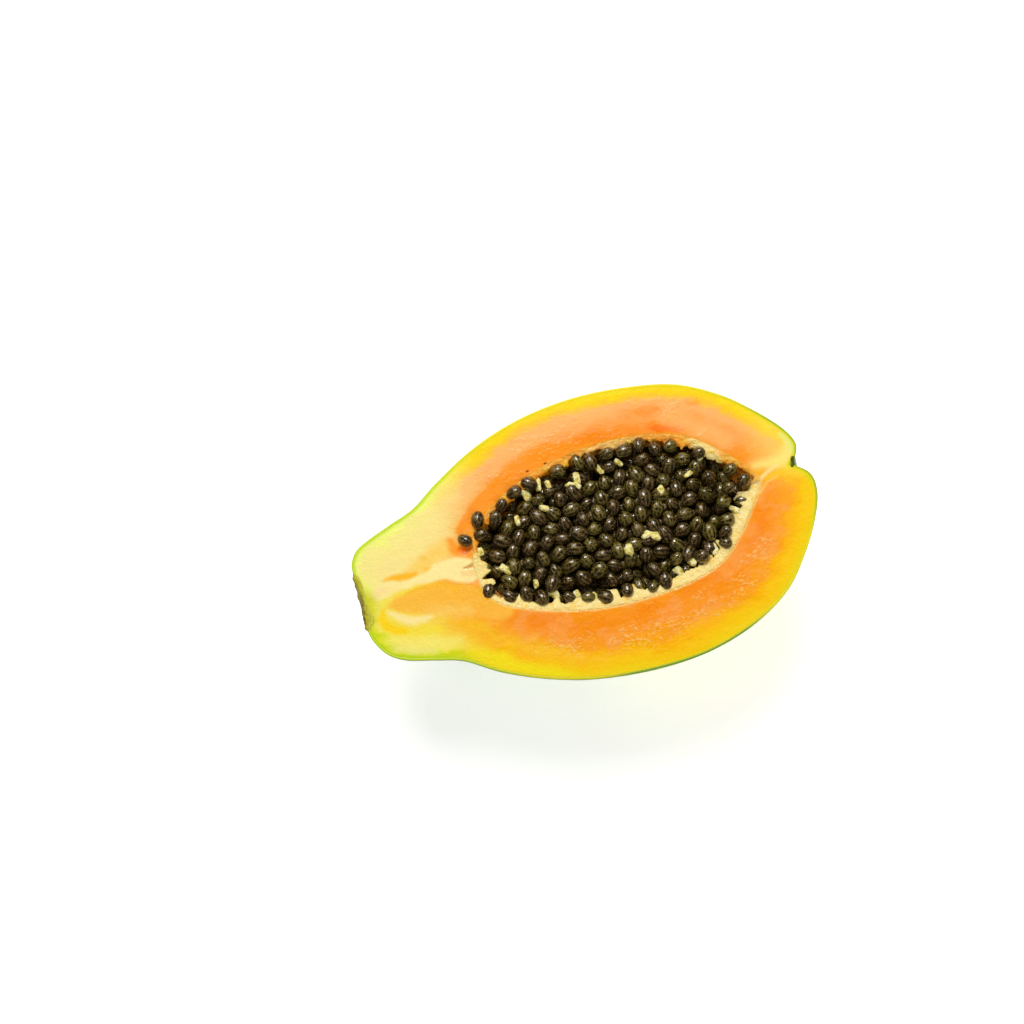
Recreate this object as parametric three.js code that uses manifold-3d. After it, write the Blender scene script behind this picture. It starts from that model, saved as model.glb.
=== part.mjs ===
// Half a ripe papaya, cut lengthways through its seed cavity and lying on its skin, cut face up.
// Millimetres, +Z up. +X runs along the fruit from the stalk end to the blossom end, and +Y is across it.
// Everything is first built with the stalk end at the origin and the cut face at z = 0, then moved
// so that the origin is on the surface that the half rests on, under the middle of the half.

import * as THREE from "three";
import { mergeVertices } from "three/addons/utils/BufferGeometryUtils.js";
import Module from "manifold-3d";

const wasm = await Module();
wasm.setup();

// The half fruit
const depthOverHalfWidth = 0.985;
const deepestAlong = 89; // where along the fruit the belly is deepest
const depthLean = 0.0009; // share of depth lost for each millimetre towards the blossom end
const restingSpotPress = 0.9; // how far the belly is flattened where it rests
const ribHeightShare = 0.014; // the five faint ribs of a papaya
const ribCount = 5;
const blossomTuck = 0.85; // share of the half width by which the underside draws back at the blossom end
const blossomTuckPower = 16; // how closely that keeps to the end
const peelThickness = 0.9;
const pieceGap = 0.3;

// The two edges of the cut face, [along, across], from the stalk end to the blossom end
const upperEdge = [
  [1.2, 0], [0.4, 5.2], [0.2, 9.6], [0.9, 14.2], [3.9, 18.1], [9.0, 20.5], [18.0, 23.4], [27.5, 26.5],
  [38.0, 32.8], [54.0, 40.6], [72.0, 45.7], [92.0, 47.4], [112.0, 45.5], [130.0, 41.0], [144.0, 32.6],
  [154.0, 23.2], [161.4, 14.2], [164.2, 7.8], [162.9, 3.5], [160.2, 0.8],
];
const lowerEdge = [
  [1.2, 0], [-0.2, -5.2], [-0.8, -9.6], [0, -14.6], [3.5, -20.6], [9.5, -24.6], [19.0, -27.6],
  [28.5, -31.0], [40.0, -38.8], [55.0, -46.0], [73.0, -51.6], [93.0, -54.2], [112.0, -53.9],
  [130.0, -49.5], [144.5, -41.8], [154.5, -31.4], [161.5, -21.4], [165.8, -12.0], [165.7, -4.5],
  [160.2, 0.8],
];

// The two edges of the seed cavity, measured where the flesh ends
const cavityUpperEdge = [
  [43.4, 5.6], [44.9, 10.6], [48.8, 14.9], [55.5, 18.9], [66.0, 23.8], [80.0, 27.1], [97.0, 28.4],
  [113.0, 26.7], [126.0, 22.4], [134.2, 16.3], [141.5, 8.7], [146.2, 2.0], [147.8, -2.0],
];
const cavityLowerEdge = [
  [43.4, 5.6], [41.8, -1.6], [44.0, -11.8], [51.0, -17.9], [64.0, -23.4], [80.0, -27.7], [97.0, -29.1],
  [113.0, -28.4], [125.5, -25.0], [134.5, -18.2], [141.0, -11.0], [145.4, -5.6], [147.8, -2.0],
];
const cavityDepthOverHalfWidth = 0.8;
const liningThickness = 1.5;

// Pale stubs of the seed stalks, standing out of the lining just under the cut face
const stubCount = 30;
const stubLength = 3.4;
const stubRadius = 1.5;
const stubSides = 5;
const stubDrop = 2.2;
const stubTurn = 0.1; // how far down the wall they grow, in radians from the cut face
const stubScatter = {
  sunk: 0.9,
  drop: 0.8,
  sideways: 0.5,
  rise: 0.35,
  length: [0.65, 0.5], // the least, and how much more there may be
  radius: [0.75, 0.45],
};
const stubTaper = 0.62;

// The seeds, true size, heaped in the cavity on a core that they stand out of
const seedLength = 6.6;
const seedWidth = 5.2;
const seedSpacing = 5.9;
const seedBedCrown = -0.6; // height of the seeds' centres above the cut face, along the middle of the heap
const seedBedRim = -3.6; // and at its edge
const seedScatter = {
  shift: 0.7, // of the spacing, along and across
  spill: 2.6, // how far outside the bed a seed may start before it is pushed back into it
  lift: 2.2,
  tilt: 1.1,
  uprightShare: 0.2, // share of the seeds that stand more on end
  uprightTilt: 1.0,
  smallest: 0.88,
  sizeRange: 0.22,
  push: 0.25, // share of an overlap that one round of pushing takes away on each side
  rounds: 30,
};
const seedRoomAbove = 2.3; // the least distance of a seed's centre from the lining, on the upper side
const seedRoomBelow = 3.4; // and on the lower side, where the seeds have come away from it
const coreUnderSeeds = 0.9;

// The corky scar that the stalk leaves, and the dry button at the blossom end
const stalkScarRadius = 10.5;
const stalkScarDepth = 2.6;
const blossomScarRadius = 2.6;
const blossomScarDepth = 1.3;

const rowsAlongFruit = 32;
const columnsRoundFruit = 24;
const rowsAlongCavity = 20;
const columnsRoundCavity = 20;
const rowsAlongCore = 10;
const columnsRoundCore = 10;

const colours = {
  peel: 0x7fa31c,
  flesh: 0xff9a3c,
  lining: 0xf3dc9a,
  seeds: 0x2b2a1c,
  stalkScar: 0x9a8a3c,
  blossomScar: 0x4f5a22,
};

const splineOf = (points) => new THREE.SplineCurve(points.map(([x, y]) => new THREE.Vector2(x, y)));
const fruitEdges = { upper: splineOf(upperEdge), lower: splineOf(lowerEdge) };
const cavityEdges = { upper: splineOf(cavityUpperEdge), lower: splineOf(cavityLowerEdge) };

// Numbers from 0 to 1 in a fixed order, by a multiplicative congruential rule
const stubsRandomSeed = 4177;
const seedsRandomSeed = 20611;
function randomFrom(start) {
  const factor = 48271;
  const modulus = 2147483647;
  let state = start;
  return () => {
    state = (state * factor) % modulus;
    return state / modulus;
  };
}

// The middle of the two edges at a share of their length, and half the way from one to the other
function acrossAt(edges, share) {
  const upper = edges.upper.getPoint(share);
  const lower = edges.lower.getPoint(share);
  const middle = upper.clone().add(lower).multiplyScalar(0.5);
  return { middle, reach: upper.sub(middle) };
}

// A point of the skin: half ellipses across the fruit, a little ribbed, that meet the cut face at both edges
function skinPoint(share, turn) {
  const { middle, reach } = acrossAt(fruitEdges, share);
  const sideways = Math.cos(turn);
  const down = Math.sin(turn);
  const lean = 1 - depthLean * (middle.x - deepestAlong);
  const rib = 1 + ribHeightShare * Math.cos(2 * ribCount * turn) * down * down * Math.sin(Math.PI * share);
  const tuck = blossomTuck * reach.length() * share ** blossomTuckPower * down * down;
  return new THREE.Vector3(
    middle.x + reach.x * sideways - tuck,
    middle.y + reach.y * sideways,
    -reach.length() * depthOverHalfWidth * lean * rib * down,
  );
}

// A point of the cavity's wall, in the same way
function cavityPoint(share, turn) {
  const { middle, reach } = acrossAt(cavityEdges, share);
  return new THREE.Vector3(
    middle.x + reach.x * Math.cos(turn),
    middle.y + reach.y * Math.cos(turn),
    -reach.length() * cavityDepthOverHalfWidth * Math.sin(turn),
  );
}

// The same surface, moved inwards along its normals
function insetSurface(pointAt, inset) {
  const step = 1e-3;
  return (share, turn) => {
    if (share <= 0) return pointAt(0, 0).add(new THREE.Vector3(inset, 0, 0));
    if (share >= 1) return pointAt(1, 0).add(new THREE.Vector3(-inset, 0, 0));
    const low = Math.max(share - step, 0);
    const high = Math.min(share + step, 1);
    const along = pointAt(high, turn).sub(pointAt(low, turn));
    const round = pointAt(share, turn + step).sub(pointAt(share, turn - step));
    const inwards = round.cross(along).normalize();
    return pointAt(share, turn).addScaledVector(inwards, inset);
  };
}

// A closed geometry over a surface that starts and ends in a point, with a ring of vertices for each row
function closedGeometry(pointAt, rows, columns) {
  const positions = [...pointAt(0, 0).toArray()];
  for (let row = 1; row < rows; row++) {
    for (let column = 0; column < columns; column++) {
      positions.push(...pointAt(row / rows, (2 * Math.PI * column) / columns).toArray());
    }
  }
  positions.push(...pointAt(1, 0).toArray());
  const last = positions.length / 3 - 1;
  const at = (row, column) => 1 + (row - 1) * columns + (column % columns);
  const faces = [];
  for (let column = 0; column < columns; column++) {
    faces.push(0, at(1, column), at(1, column + 1));
    for (let row = 1; row < rows - 1; row++) {
      faces.push(at(row, column), at(row + 1, column), at(row, column + 1));
      faces.push(at(row + 1, column), at(row + 1, column + 1), at(row, column + 1));
    }
    faces.push(last, at(rows - 1, column + 1), at(rows - 1, column));
  }
  const geometry = new THREE.BufferGeometry();
  geometry.setAttribute("position", new THREE.Float32BufferAttribute(positions, 3));
  geometry.setIndex(faces);
  return geometry;
}

function solidOf(geometry) {
  const bare = geometry.clone();
  bare.deleteAttribute("normal");
  bare.deleteAttribute("uv");
  const merged = mergeVertices(bare, 1e-4);
  const solid = new wasm.Manifold(new wasm.Mesh({
    numProp: 3,
    vertProperties: merged.attributes.position.array,
    triVerts: new Uint32Array(merged.index.array),
  }));
  if (solid.volume() < 0) throw new Error("a geometry is inside out");
  return solid;
}

function geometryOf(solid) {
  const mesh = solid.getMesh();
  const positions = new Float32Array(mesh.numVert * 3);
  for (let vertex = 0; vertex < mesh.numVert; vertex++) {
    const start = vertex * mesh.numProp;
    positions.set(mesh.vertProperties.subarray(start, start + 3), vertex * 3);
  }
  const geometry = new THREE.BufferGeometry();
  geometry.setAttribute("position", new THREE.BufferAttribute(positions, 3));
  geometry.setIndex(new THREE.BufferAttribute(new Uint32Array(mesh.triVerts), 1));
  return geometry;
}

// A big block from one height to another, for cutting
function slab(bottom, top) {
  const size = 600;
  const block = new THREE.BoxGeometry(size, size, top - bottom).translate(0, 0, (top + bottom) / 2);
  return solidOf(block);
}

// A short round bar along X, from one place along the fruit to another, for cutting the scars' seats
function barAlong(from, to, across, radius) {
  const bar = new THREE.CylinderGeometry(radius, radius, to - from, 20).rotateZ(-Math.PI / 2);
  return solidOf(bar.translate((from + to) / 2, across, 0));
}

function largestBody(solid) {
  return solid.decompose().reduce((best, body) => (body.volume() > best.volume() ? body : best));
}

// The depth of the belly, where the flat spot is pressed in
function bellyDepth() {
  let deepest = 0;
  for (let row = 0; row <= rowsAlongFruit; row++) {
    deepest = Math.max(deepest, -skinPoint(row / rowsAlongFruit, Math.PI / 2).z);
  }
  return deepest - restingSpotPress;
}
const restDepth = bellyDepth();
const tall = 100;

// The fruit's lower half, moved inwards all round
function halfFruit(inset, top) {
  const surface = closedGeometry(insetSurface(skinPoint, inset), rowsAlongFruit, columnsRoundFruit);
  return solidOf(surface).intersect(slab(inset - restDepth, top));
}

function cavitySolid(inset, top) {
  const surface = closedGeometry(insetSurface(cavityPoint, inset), rowsAlongCavity, columnsRoundCavity);
  return solidOf(surface).intersect(slab(-tall, top));
}

// The seat of a scar, grown on all sides where something else makes room for it
const stalkScarSeat = (room) => barAlong(-tall, 1 + stalkScarDepth + room, 0, stalkScarRadius + room);
const notch = fruitEdges.upper.getPoint(1);
const blossomScarSeat = (room) =>
  barAlong(notch.x - blossomScarDepth - room, notch.x + tall, notch.y, blossomScarRadius + room);

function makePeel() {
  return halfFruit(0, 0)
    .subtract(halfFruit(peelThickness, tall))
    .subtract(stalkScarSeat(pieceGap))
    .subtract(blossomScarSeat(pieceGap));
}

function makeFlesh() {
  return halfFruit(peelThickness + pieceGap, 0)
    .subtract(cavitySolid(0, tall))
    .subtract(stalkScarSeat(pieceGap))
    .subtract(blossomScarSeat(pieceGap));
}

// Stubs round the cavity's wall, by even shares with seeded shifts: tapered pegs that stand into the cavity
function stubPlaces() {
  const random = randomFrom(stubsRandomSeed);
  const between = ([least, range]) => least + range * random();
  const places = [];
  for (let index = 0; index < stubCount; index++) {
    const turn = index % 3 === 2 ? stubTurn : Math.PI - stubTurn; // two of three are on the lower side
    const share = 0.06 + (0.88 * (index + random())) / stubCount;
    const wall = insetSurface(cavityPoint, liningThickness)(share, turn);
    const { middle } = acrossAt(cavityEdges, share);
    const inwards = new THREE.Vector3(middle.x - wall.x, middle.y - wall.y, 0).normalize();
    const lean = new THREE.Vector3(stubScatter.sideways * (random() - 0.5), 0, stubScatter.rise * random());
    places.push({
      place: wall.setZ(-stubDrop - stubScatter.drop * random()).addScaledVector(inwards, -stubScatter.sunk),
      inwards: inwards.add(lean).normalize(),
      length: stubLength * between(stubScatter.length),
      radius: stubRadius * between(stubScatter.radius),
    });
  }
  return places;
}
const stubs = stubPlaces();

function stubSolids(room) {
  return stubs.map(({ place, inwards, length, radius }) => {
    const [tip, foot] = [stubTaper * radius + room, radius + room];
    const peg = new THREE.CylinderGeometry(tip, foot, length + room, stubSides);
    peg.translate(0, (length + room) / 2, 0);
    peg.applyQuaternion(new THREE.Quaternion().setFromUnitVectors(new THREE.Vector3(0, 1, 0), inwards));
    return solidOf(peg.translate(...place.toArray()));
  });
}

function makeLining() {
  const bowl = cavitySolid(pieceGap, 0).subtract(cavitySolid(liningThickness, tall));
  return largestBody(wasm.Manifold.union([bowl, ...stubSolids(0)]).intersect(cavitySolid(pieceGap, 0)));
}

// The lining's inner edge on one side of the cut face, as points from the stalk end on
function liningEdge(turn) {
  const samples = 160;
  const inner = insetSurface(cavityPoint, liningThickness);
  return Array.from({ length: samples + 1 }, (_, index) => inner(index / samples, turn));
}
const liningUpperEdge = liningEdge(0);
const liningLowerEdge = liningEdge(Math.PI);

// The place across the fruit where an edge passes a place along it, or null past its ends
function edgeAcross(edge, along) {
  const next = edge.findIndex((point, index) => index > 0 && edge[index - 1].x <= along && point.x > along);
  if (next < 0) return null;
  const [before, after] = [edge[next - 1], edge[next]];
  return before.y + ((after.y - before.y) * (along - before.x)) / (after.x - before.x);
}

// The free strip for the seeds' centres, [low, high] across the fruit, for each millimetre along it
const bedTable = Array.from({ length: Math.ceil(cavityUpperEdge.at(-1)[0]) + 1 }, (_, along) => {
  const low = edgeAcross(liningLowerEdge, along);
  const high = edgeAcross(liningUpperEdge, along);
  const free = low !== null && high !== null && high - low > seedRoomBelow + seedRoomAbove;
  return free ? [low + seedRoomBelow, high - seedRoomAbove] : null;
});
const bedStart = bedTable.findIndex((strip) => strip);
const bedEnd = bedTable.findLastIndex((strip) => strip) - 0.001;
function bedStrip(along) {
  const low = Math.floor(along);
  const part = along - low;
  const [a, b] = [bedTable[low], bedTable[low + 1]];
  return [a[0] + (b[0] - a[0]) * part, a[1] + (b[1] - a[1]) * part];
}

// The height of the seeds' centres: highest along the middle of the heap, lowest at its sides and ends
function bedHeight(x, y) {
  const [low, high] = bedStrip(x);
  const across = (2 * y - low - high) / (high - low + 2);
  const along = (2 * x - bedStart - bedEnd) / (bedEnd - bedStart);
  return seedBedRim + (seedBedCrown - seedBedRim) * (1 - across * across) * (1 - along ** 4);
}

function keepInBed(seed) {
  seed.x = Math.min(Math.max(seed.x, bedStart), bedEnd);
  const [low, high] = bedStrip(seed.x);
  seed.y = Math.min(Math.max(seed.y, low), high);
}

// Seeds on a staggered grid with seeded shifts, pushed apart until they lie about one spacing apart
function seedPlaces() {
  const random = randomFrom(seedsRandomSeed);
  const spread = (range) => range * (random() - 0.5);
  const { shift, spill, lift, tilt, uprightShare, uprightTilt } = seedScatter;
  const { smallest, sizeRange, push, rounds } = seedScatter;
  const seeds = [];
  const rowStep = (seedSpacing * Math.sqrt(3)) / 2;
  const mostRows = 6;
  for (let row = -mostRows; row <= mostRows; row++) {
    for (let column = 0; bedStart + column * seedSpacing < bedEnd + seedSpacing; column++) {
      const seed = {
        x: bedStart + (column + (row % 2 === 0 ? 0 : 0.5) + spread(shift)) * seedSpacing,
        y: row * rowStep + spread(shift) * seedSpacing,
        lift: spread(lift),
        heading: Math.PI * random(),
        tilt: spread(tilt) + (random() < uprightShare ? uprightTilt : 0),
        size: smallest + sizeRange * random(),
      };
      if (seed.x < bedStart - 1 || seed.x > bedEnd + 1) continue;
      const [low, high] = bedStrip(Math.min(Math.max(seed.x, bedStart), bedEnd));
      if (seed.y > low - spill && seed.y < high + spill) seeds.push(seed);
    }
  }
  for (let round = 0; round < rounds; round++) {
    const moves = seeds.map(() => [0, 0]);
    seeds.forEach((a, i) => {
      seeds.forEach((b, j) => {
        const [dx, dy] = [a.x - b.x, a.y - b.y];
        const distance = Math.hypot(dx, dy);
        if (i === j || distance >= seedSpacing || distance === 0) return;
        const move = (push * (seedSpacing - distance)) / distance;
        moves[i][0] += dx * move;
        moves[i][1] += dy * move;
      });
    });
    seeds.forEach((seed, index) => {
      seed.x += moves[index][0];
      seed.y += moves[index][1];
      keepInBed(seed);
    });
  }
  return seeds;
}

function seedSolid(seed) {
  const ball = new THREE.IcosahedronGeometry(0.54, 0); // its corners stand a little outside the true oval
  ball.scale(seedWidth * seed.size, seedLength * seed.size, seedWidth * seed.size);
  ball.rotateX(seed.tilt);
  ball.rotateZ(seed.heading);
  return solidOf(ball.translate(seed.x, seed.y, bedHeight(seed.x, seed.y) + seed.lift));
}

// The core of the heap: the lining's inside below, and above it the seeds' own surface, a little lower
function corePoint(share, turn) {
  const point = insetSurface(cavityPoint, liningThickness + pieceGap)(share, turn);
  const rimHeight = seedBedRim - coreUnderSeeds;
  if (turn <= Math.PI) return point.setZ(Math.min(point.z, rimHeight));
  const across = Math.cos(turn);
  const along = 2 * share - 1;
  return point.setZ(rimHeight + (seedBedCrown - seedBedRim) * (1 - across * across) * (1 - along ** 4));
}

function makeSeeds() {
  const core = solidOf(closedGeometry(corePoint, rowsAlongCore, columnsRoundCore));
  const heap = wasm.Manifold.union([core, ...seedPlaces().map(seedSolid)]);
  const room = cavitySolid(liningThickness + pieceGap, tall).add(slab(pieceGap, tall));
  return largestBody(heap.intersect(room).subtract(wasm.Manifold.union(stubSolids(pieceGap))));
}

const makeStalkScar = () => halfFruit(0, 0).intersect(stalkScarSeat(0));
const makeBlossomScar = () => largestBody(halfFruit(0, 0).intersect(blossomScarSeat(0)));

const papaya = new THREE.Group();
function addPiece(name, solid, colour, roughness) {
  const material = new THREE.MeshStandardMaterial({ color: colour, roughness, metalness: 0 });
  const mesh = new THREE.Mesh(geometryOf(solid), material);
  mesh.name = name;
  papaya.add(mesh);
}
addPiece("peel", makePeel(), colours.peel, 0.45);
addPiece("flesh", makeFlesh(), colours.flesh, 0.4);
addPiece("placenta_lining", makeLining(), colours.lining, 0.55);
addPiece("seeds", makeSeeds(), colours.seeds, 0.25);
addPiece("stalk_scar", makeStalkScar(), colours.stalkScar, 0.85);
addPiece("blossom_scar", makeBlossomScar(), colours.blossomScar, 0.8);

const box = new THREE.Box3().setFromObject(papaya);
papaya.position.set(-(box.min.x + box.max.x) / 2, -(box.min.y + box.max.y) / 2, restDepth);

export default papaya;
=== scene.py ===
import math

import bmesh
import bpy
import numpy as np
from mathutils import Matrix, Vector


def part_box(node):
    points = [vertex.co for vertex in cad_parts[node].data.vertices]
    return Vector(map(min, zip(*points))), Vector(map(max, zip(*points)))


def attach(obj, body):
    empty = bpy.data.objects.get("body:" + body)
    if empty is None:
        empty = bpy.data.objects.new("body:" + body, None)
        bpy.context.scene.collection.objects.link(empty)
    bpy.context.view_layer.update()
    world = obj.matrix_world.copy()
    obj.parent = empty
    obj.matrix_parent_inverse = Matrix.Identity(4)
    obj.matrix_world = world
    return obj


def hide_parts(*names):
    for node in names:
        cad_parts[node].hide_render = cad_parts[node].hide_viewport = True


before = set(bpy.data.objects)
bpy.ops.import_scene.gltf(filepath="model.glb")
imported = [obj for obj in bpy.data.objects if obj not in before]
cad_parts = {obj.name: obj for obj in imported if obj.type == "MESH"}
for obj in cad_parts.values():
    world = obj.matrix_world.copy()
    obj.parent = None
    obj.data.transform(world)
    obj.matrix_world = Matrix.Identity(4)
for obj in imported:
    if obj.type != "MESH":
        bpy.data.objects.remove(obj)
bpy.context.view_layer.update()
print("frame loaded, nodes:", ", ".join(sorted(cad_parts)))

fruit = {
    "upperEdge": [
        (1.2, 0), (0.4, 5.2), (0.2, 9.6), (0.9, 14.2), (3.9, 18.1), (9.0, 20.5), (18.0, 23.4), (27.5, 26.5),
        (38.0, 32.8), (54.0, 40.6), (72.0, 45.7), (92.0, 47.4), (112.0, 45.5), (130.0, 41.0), (144.0, 32.6),
        (154.0, 23.2), (161.4, 14.2), (164.2, 7.8), (162.9, 3.5), (160.2, 0.8),
    ],
    "lowerEdge": [
        (1.2, 0), (-0.2, -5.2), (-0.8, -9.6), (0, -14.6), (3.5, -20.6), (9.5, -24.6), (19.0, -27.6),
        (28.5, -31.0), (40.0, -38.8), (55.0, -46.0), (73.0, -51.6), (93.0, -54.2), (112.0, -53.9),
        (130.0, -49.5), (144.5, -41.8), (154.5, -31.4), (161.5, -21.4), (165.8, -12.0), (165.7, -4.5),
        (160.2, 0.8),
    ],
    "cavityUpperEdge": [
        (43.4, 5.6), (44.9, 10.6), (48.8, 14.9), (55.5, 18.9), (66.0, 23.8), (80.0, 27.1), (97.0, 28.4),
        (113.0, 26.7), (126.0, 22.4), (134.2, 16.3), (141.5, 8.7), (146.2, 2.0), (147.8, -2.0),
    ],
    "cavityLowerEdge": [
        (43.4, 5.6), (41.8, -1.6), (44.0, -11.8), (51.0, -17.9), (64.0, -23.4), (80.0, -27.7), (97.0, -29.1),
        (113.0, -28.4), (125.5, -25.0), (134.5, -18.2), (141.0, -11.0), (145.4, -5.6), (147.8, -2.0),
    ],
    "depthOverHalfWidth": 0.985,
    "deepestAlong": 89,
    "depthLean": 0.0009,
    "ribHeight": 0.014,
    "ribCount": 5,
    "blossomTuck": 0.85,
    "blossomTuckPower": 16,
    "cavityDepthOverHalfWidth": 0.8,
}


def alongSpline(points, share):
    # each stretch is a cubic through its two points, whose slopes there are half the step
    # from the point before to the point after
    points = np.asarray(points, float)
    last = len(points) - 1
    place = np.clip(share, 0, 1) * last
    here = np.minimum(np.floor(place).astype(int), last)
    t = (place - here)[..., None]
    before = points[np.maximum(here - 1, 0)]
    start = points[here]
    end = points[np.minimum(here + 1, last)]
    after = points[np.minimum(here + 2, last)]
    slopeIn = (end - before) / 2
    slopeOut = (after - start) / 2
    cubic = 2 * start - 2 * end + slopeIn + slopeOut
    square = -3 * start + 3 * end - 2 * slopeIn - slopeOut
    return cubic * t**3 + square * t**2 + slopeIn * t + start


def skinSurface(share, turn):
    # half ellipses across the fruit: cosine of the turn across, sine of it down, with a low ripple of ribs
    upper = alongSpline(fruit["upperEdge"], share)
    lower = alongSpline(fruit["lowerEdge"], share)
    middle = (upper + lower) / 2
    reach = (upper - lower) / 2
    sideways, down = np.cos(turn), np.sin(turn)
    lean = 1 - fruit["depthLean"] * (middle[..., 0] - fruit["deepestAlong"])
    ripple = np.cos(2 * fruit["ribCount"] * turn) * down**2 * np.sin(np.pi * share)
    halfWidth = np.hypot(reach[..., 0], reach[..., 1])
    depth = halfWidth * fruit["depthOverHalfWidth"] * lean * (1 + fruit["ribHeight"] * ripple) * down
    tuck = fruit["blossomTuck"] * halfWidth * share ** fruit["blossomTuckPower"] * down**2
    along = middle[..., 0] + reach[..., 0] * sideways - tuck
    across = middle[..., 1] + reach[..., 1] * sideways
    return np.stack([along, across, -depth], -1)


def cavitySurface(share, turn):
    # the same half ellipses between the two edges of the seed cavity, without ribs
    upper = alongSpline(fruit["cavityUpperEdge"], share)
    lower = alongSpline(fruit["cavityLowerEdge"], share)
    middle = (upper + lower) / 2
    reach = (upper - lower) / 2
    depth = np.hypot(reach[..., 0], reach[..., 1]) * fruit["cavityDepthOverHalfWidth"] * np.sin(turn)
    along = middle[..., 0] + reach[..., 0] * np.cos(turn)
    across = middle[..., 1] + reach[..., 1] * np.cos(turn)
    return np.stack([along, across, -depth], -1)


def inwardOf(surface, share, turn):
    # the unit normal that points into the fruit: slope round it crossed with slope along it
    step = 1e-3
    share, turn = np.broadcast_arrays(np.asarray(share, float), np.asarray(turn, float))
    along = surface(np.clip(share + step, 0, 1), turn) - surface(np.clip(share - step, 0, 1), turn)
    around = surface(share, turn + step) - surface(share, turn - step)
    normal = np.cross(around, along)
    size = np.linalg.norm(normal, axis=-1, keepdims=True)
    pole = np.zeros_like(normal)
    pole[..., 0] = np.where(share < 0.5, 1.0, -1.0)
    return np.where(size > 1e-9, normal / np.maximum(size, 1e-12), pole)


def movedIn(surface, share, turn, inset):
    # the surface shifted along its inward normal by the inset
    return surface(share, turn) + inwardOf(surface, share, turn) * np.asarray(inset, float)[..., None]


def softNoise(points, size, start):
    # random values on a lattice of cells of that size, blended by smooth steps, from -1 to 1
    place = points / size
    cell = np.floor(place).astype(np.int64)
    t = place - cell
    t = t * t * (3 - 2 * t)
    total = np.zeros(points.shape[:-1])
    for corner in range(8):
        step = np.array([corner & 1, corner >> 1 & 1, corner >> 2 & 1])
        weight = np.prod(np.where(step, t, 1 - t), axis=-1)
        key = (cell + step) @ np.array([73856093, 19349663, 83492791]) + start * 2654435
        key = (key ^ key >> 13) * 1274126177 & 0x7FFFFFFF
        total += weight * ((key ^ key >> 16) % 65536 / 32767.5 - 1)
    return total


def smoothStep(low, high, value):
    # three times the square less twice the cube of how far the value has come from low to high
    t = np.clip((value - low) / (high - low), 0, 1)
    return t * t * (3 - 2 * t)


def noiseOfSizes(points, heights, sizes, start):
    # soft noises of several sizes added up, each times its own height
    layers = enumerate(zip(heights, sizes))
    return sum(height * softNoise(points, size, start + index) for index, (height, size) in layers)


def bySide(along, upperSide, upperTable, lowerTable):
    # a number read off one table of places along the fruit on its upper side, off another on its lower side
    upper = np.interp(along, *np.transpose(upperTable))
    lower = np.interp(along, *np.transpose(lowerTable))
    return np.where(upperSide, upper, lower)


def turned(bodies, angle, first, second):
    # each body turned by its own angle, whose cosine and sine mix the first and the second direction
    cosine, sine = np.cos(angle)[:, None, None], np.sin(angle)[:, None, None]
    result = bodies.copy()
    result[..., first] = bodies[..., first] * cosine - bodies[..., second] * sine
    result[..., second] = bodies[..., first] * sine + bodies[..., second] * cosine
    return result


# where the fruit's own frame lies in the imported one: the skin's box gives two places,
# the flesh's top the third
edgeShares = np.linspace(0, 1, 600)
outline = np.concatenate([
    alongSpline(fruit["upperEdge"], edgeShares),
    alongSpline(fruit["lowerEdge"], edgeShares)[::-1],
])
cavityOutline = np.concatenate([
    alongSpline(fruit["cavityUpperEdge"], edgeShares),
    alongSpline(fruit["cavityLowerEdge"], edgeShares)[::-1],
])
peelLow, peelHigh = (np.array(corner) * 1000 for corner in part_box("peel"))
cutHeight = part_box("flesh")[1].z * 1000
place = np.array([
    (peelLow[0] + peelHigh[0] - outline[:, 0].min() - outline[:, 0].max()) / 2,
    (peelLow[1] + peelHigh[1] - outline[:, 1].min() - outline[:, 1].max()) / 2,
    cutHeight,
])
print("fruit placed at", np.round(place, 2), "mm")


def toFrame(points):
    # millimetres of the fruit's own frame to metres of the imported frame, never lower than the resting spot
    moved = points + place
    moved[..., 2] = np.maximum(moved[..., 2], 0)
    return moved / 1000


def nearest(points, line):
    # the distance of each point from the nearest of the line's points, in the cut face
    flat = points[..., :2].reshape(-1, 2)
    found = np.empty(len(flat))
    chunk = 4000
    for first in range(0, len(flat), chunk):
        part = flat[first:first + chunk, None, :] - line[None, :, :]
        found[first:first + chunk] = np.sqrt((part**2).sum(-1).min(1))
    return found.reshape(points.shape[:-1])


def stroke(points, path, soft):
    # one inside a stroke of the brush, nothing past its soft edge: path holds along, across and half width
    path = np.asarray(path, float)
    best = np.full(points.shape[:-1], -1e9)
    for first, second in zip(path[:-1], path[1:]):
        step = second[:2] - first[:2]
        offset = points[..., :2] - first[:2]
        t = np.clip((offset @ step) / (step @ step), 0, 1)
        gap = np.hypot(*(np.moveaxis(offset - t[..., None] * step, -1, 0)))
        best = np.maximum(best, first[2] + (second[2] - first[2]) * t - gap)
    return smoothStep(-soft, soft, best)


def gridFaces(rows, columns, closed):
    # four corners for each cell of a grid; a closed grid's last column meets its first
    wide = columns if closed else columns - 1
    row, column = np.meshgrid(np.arange(rows - 1), np.arange(wide), indexing="ij")
    after = (column + 1) % columns
    here, below = row * columns, (row + 1) * columns
    return np.stack([here + column, here + after, below + after, below + column], -1).reshape(-1, 4)


def bodyFaces(count, rows, columns):
    # the same closed grid for each body, with its corners counted on from body to body
    shift = np.arange(count)[:, None, None] * rows * columns
    return (gridFaces(rows, columns, True)[None] + shift).reshape(-1, 4)


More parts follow.
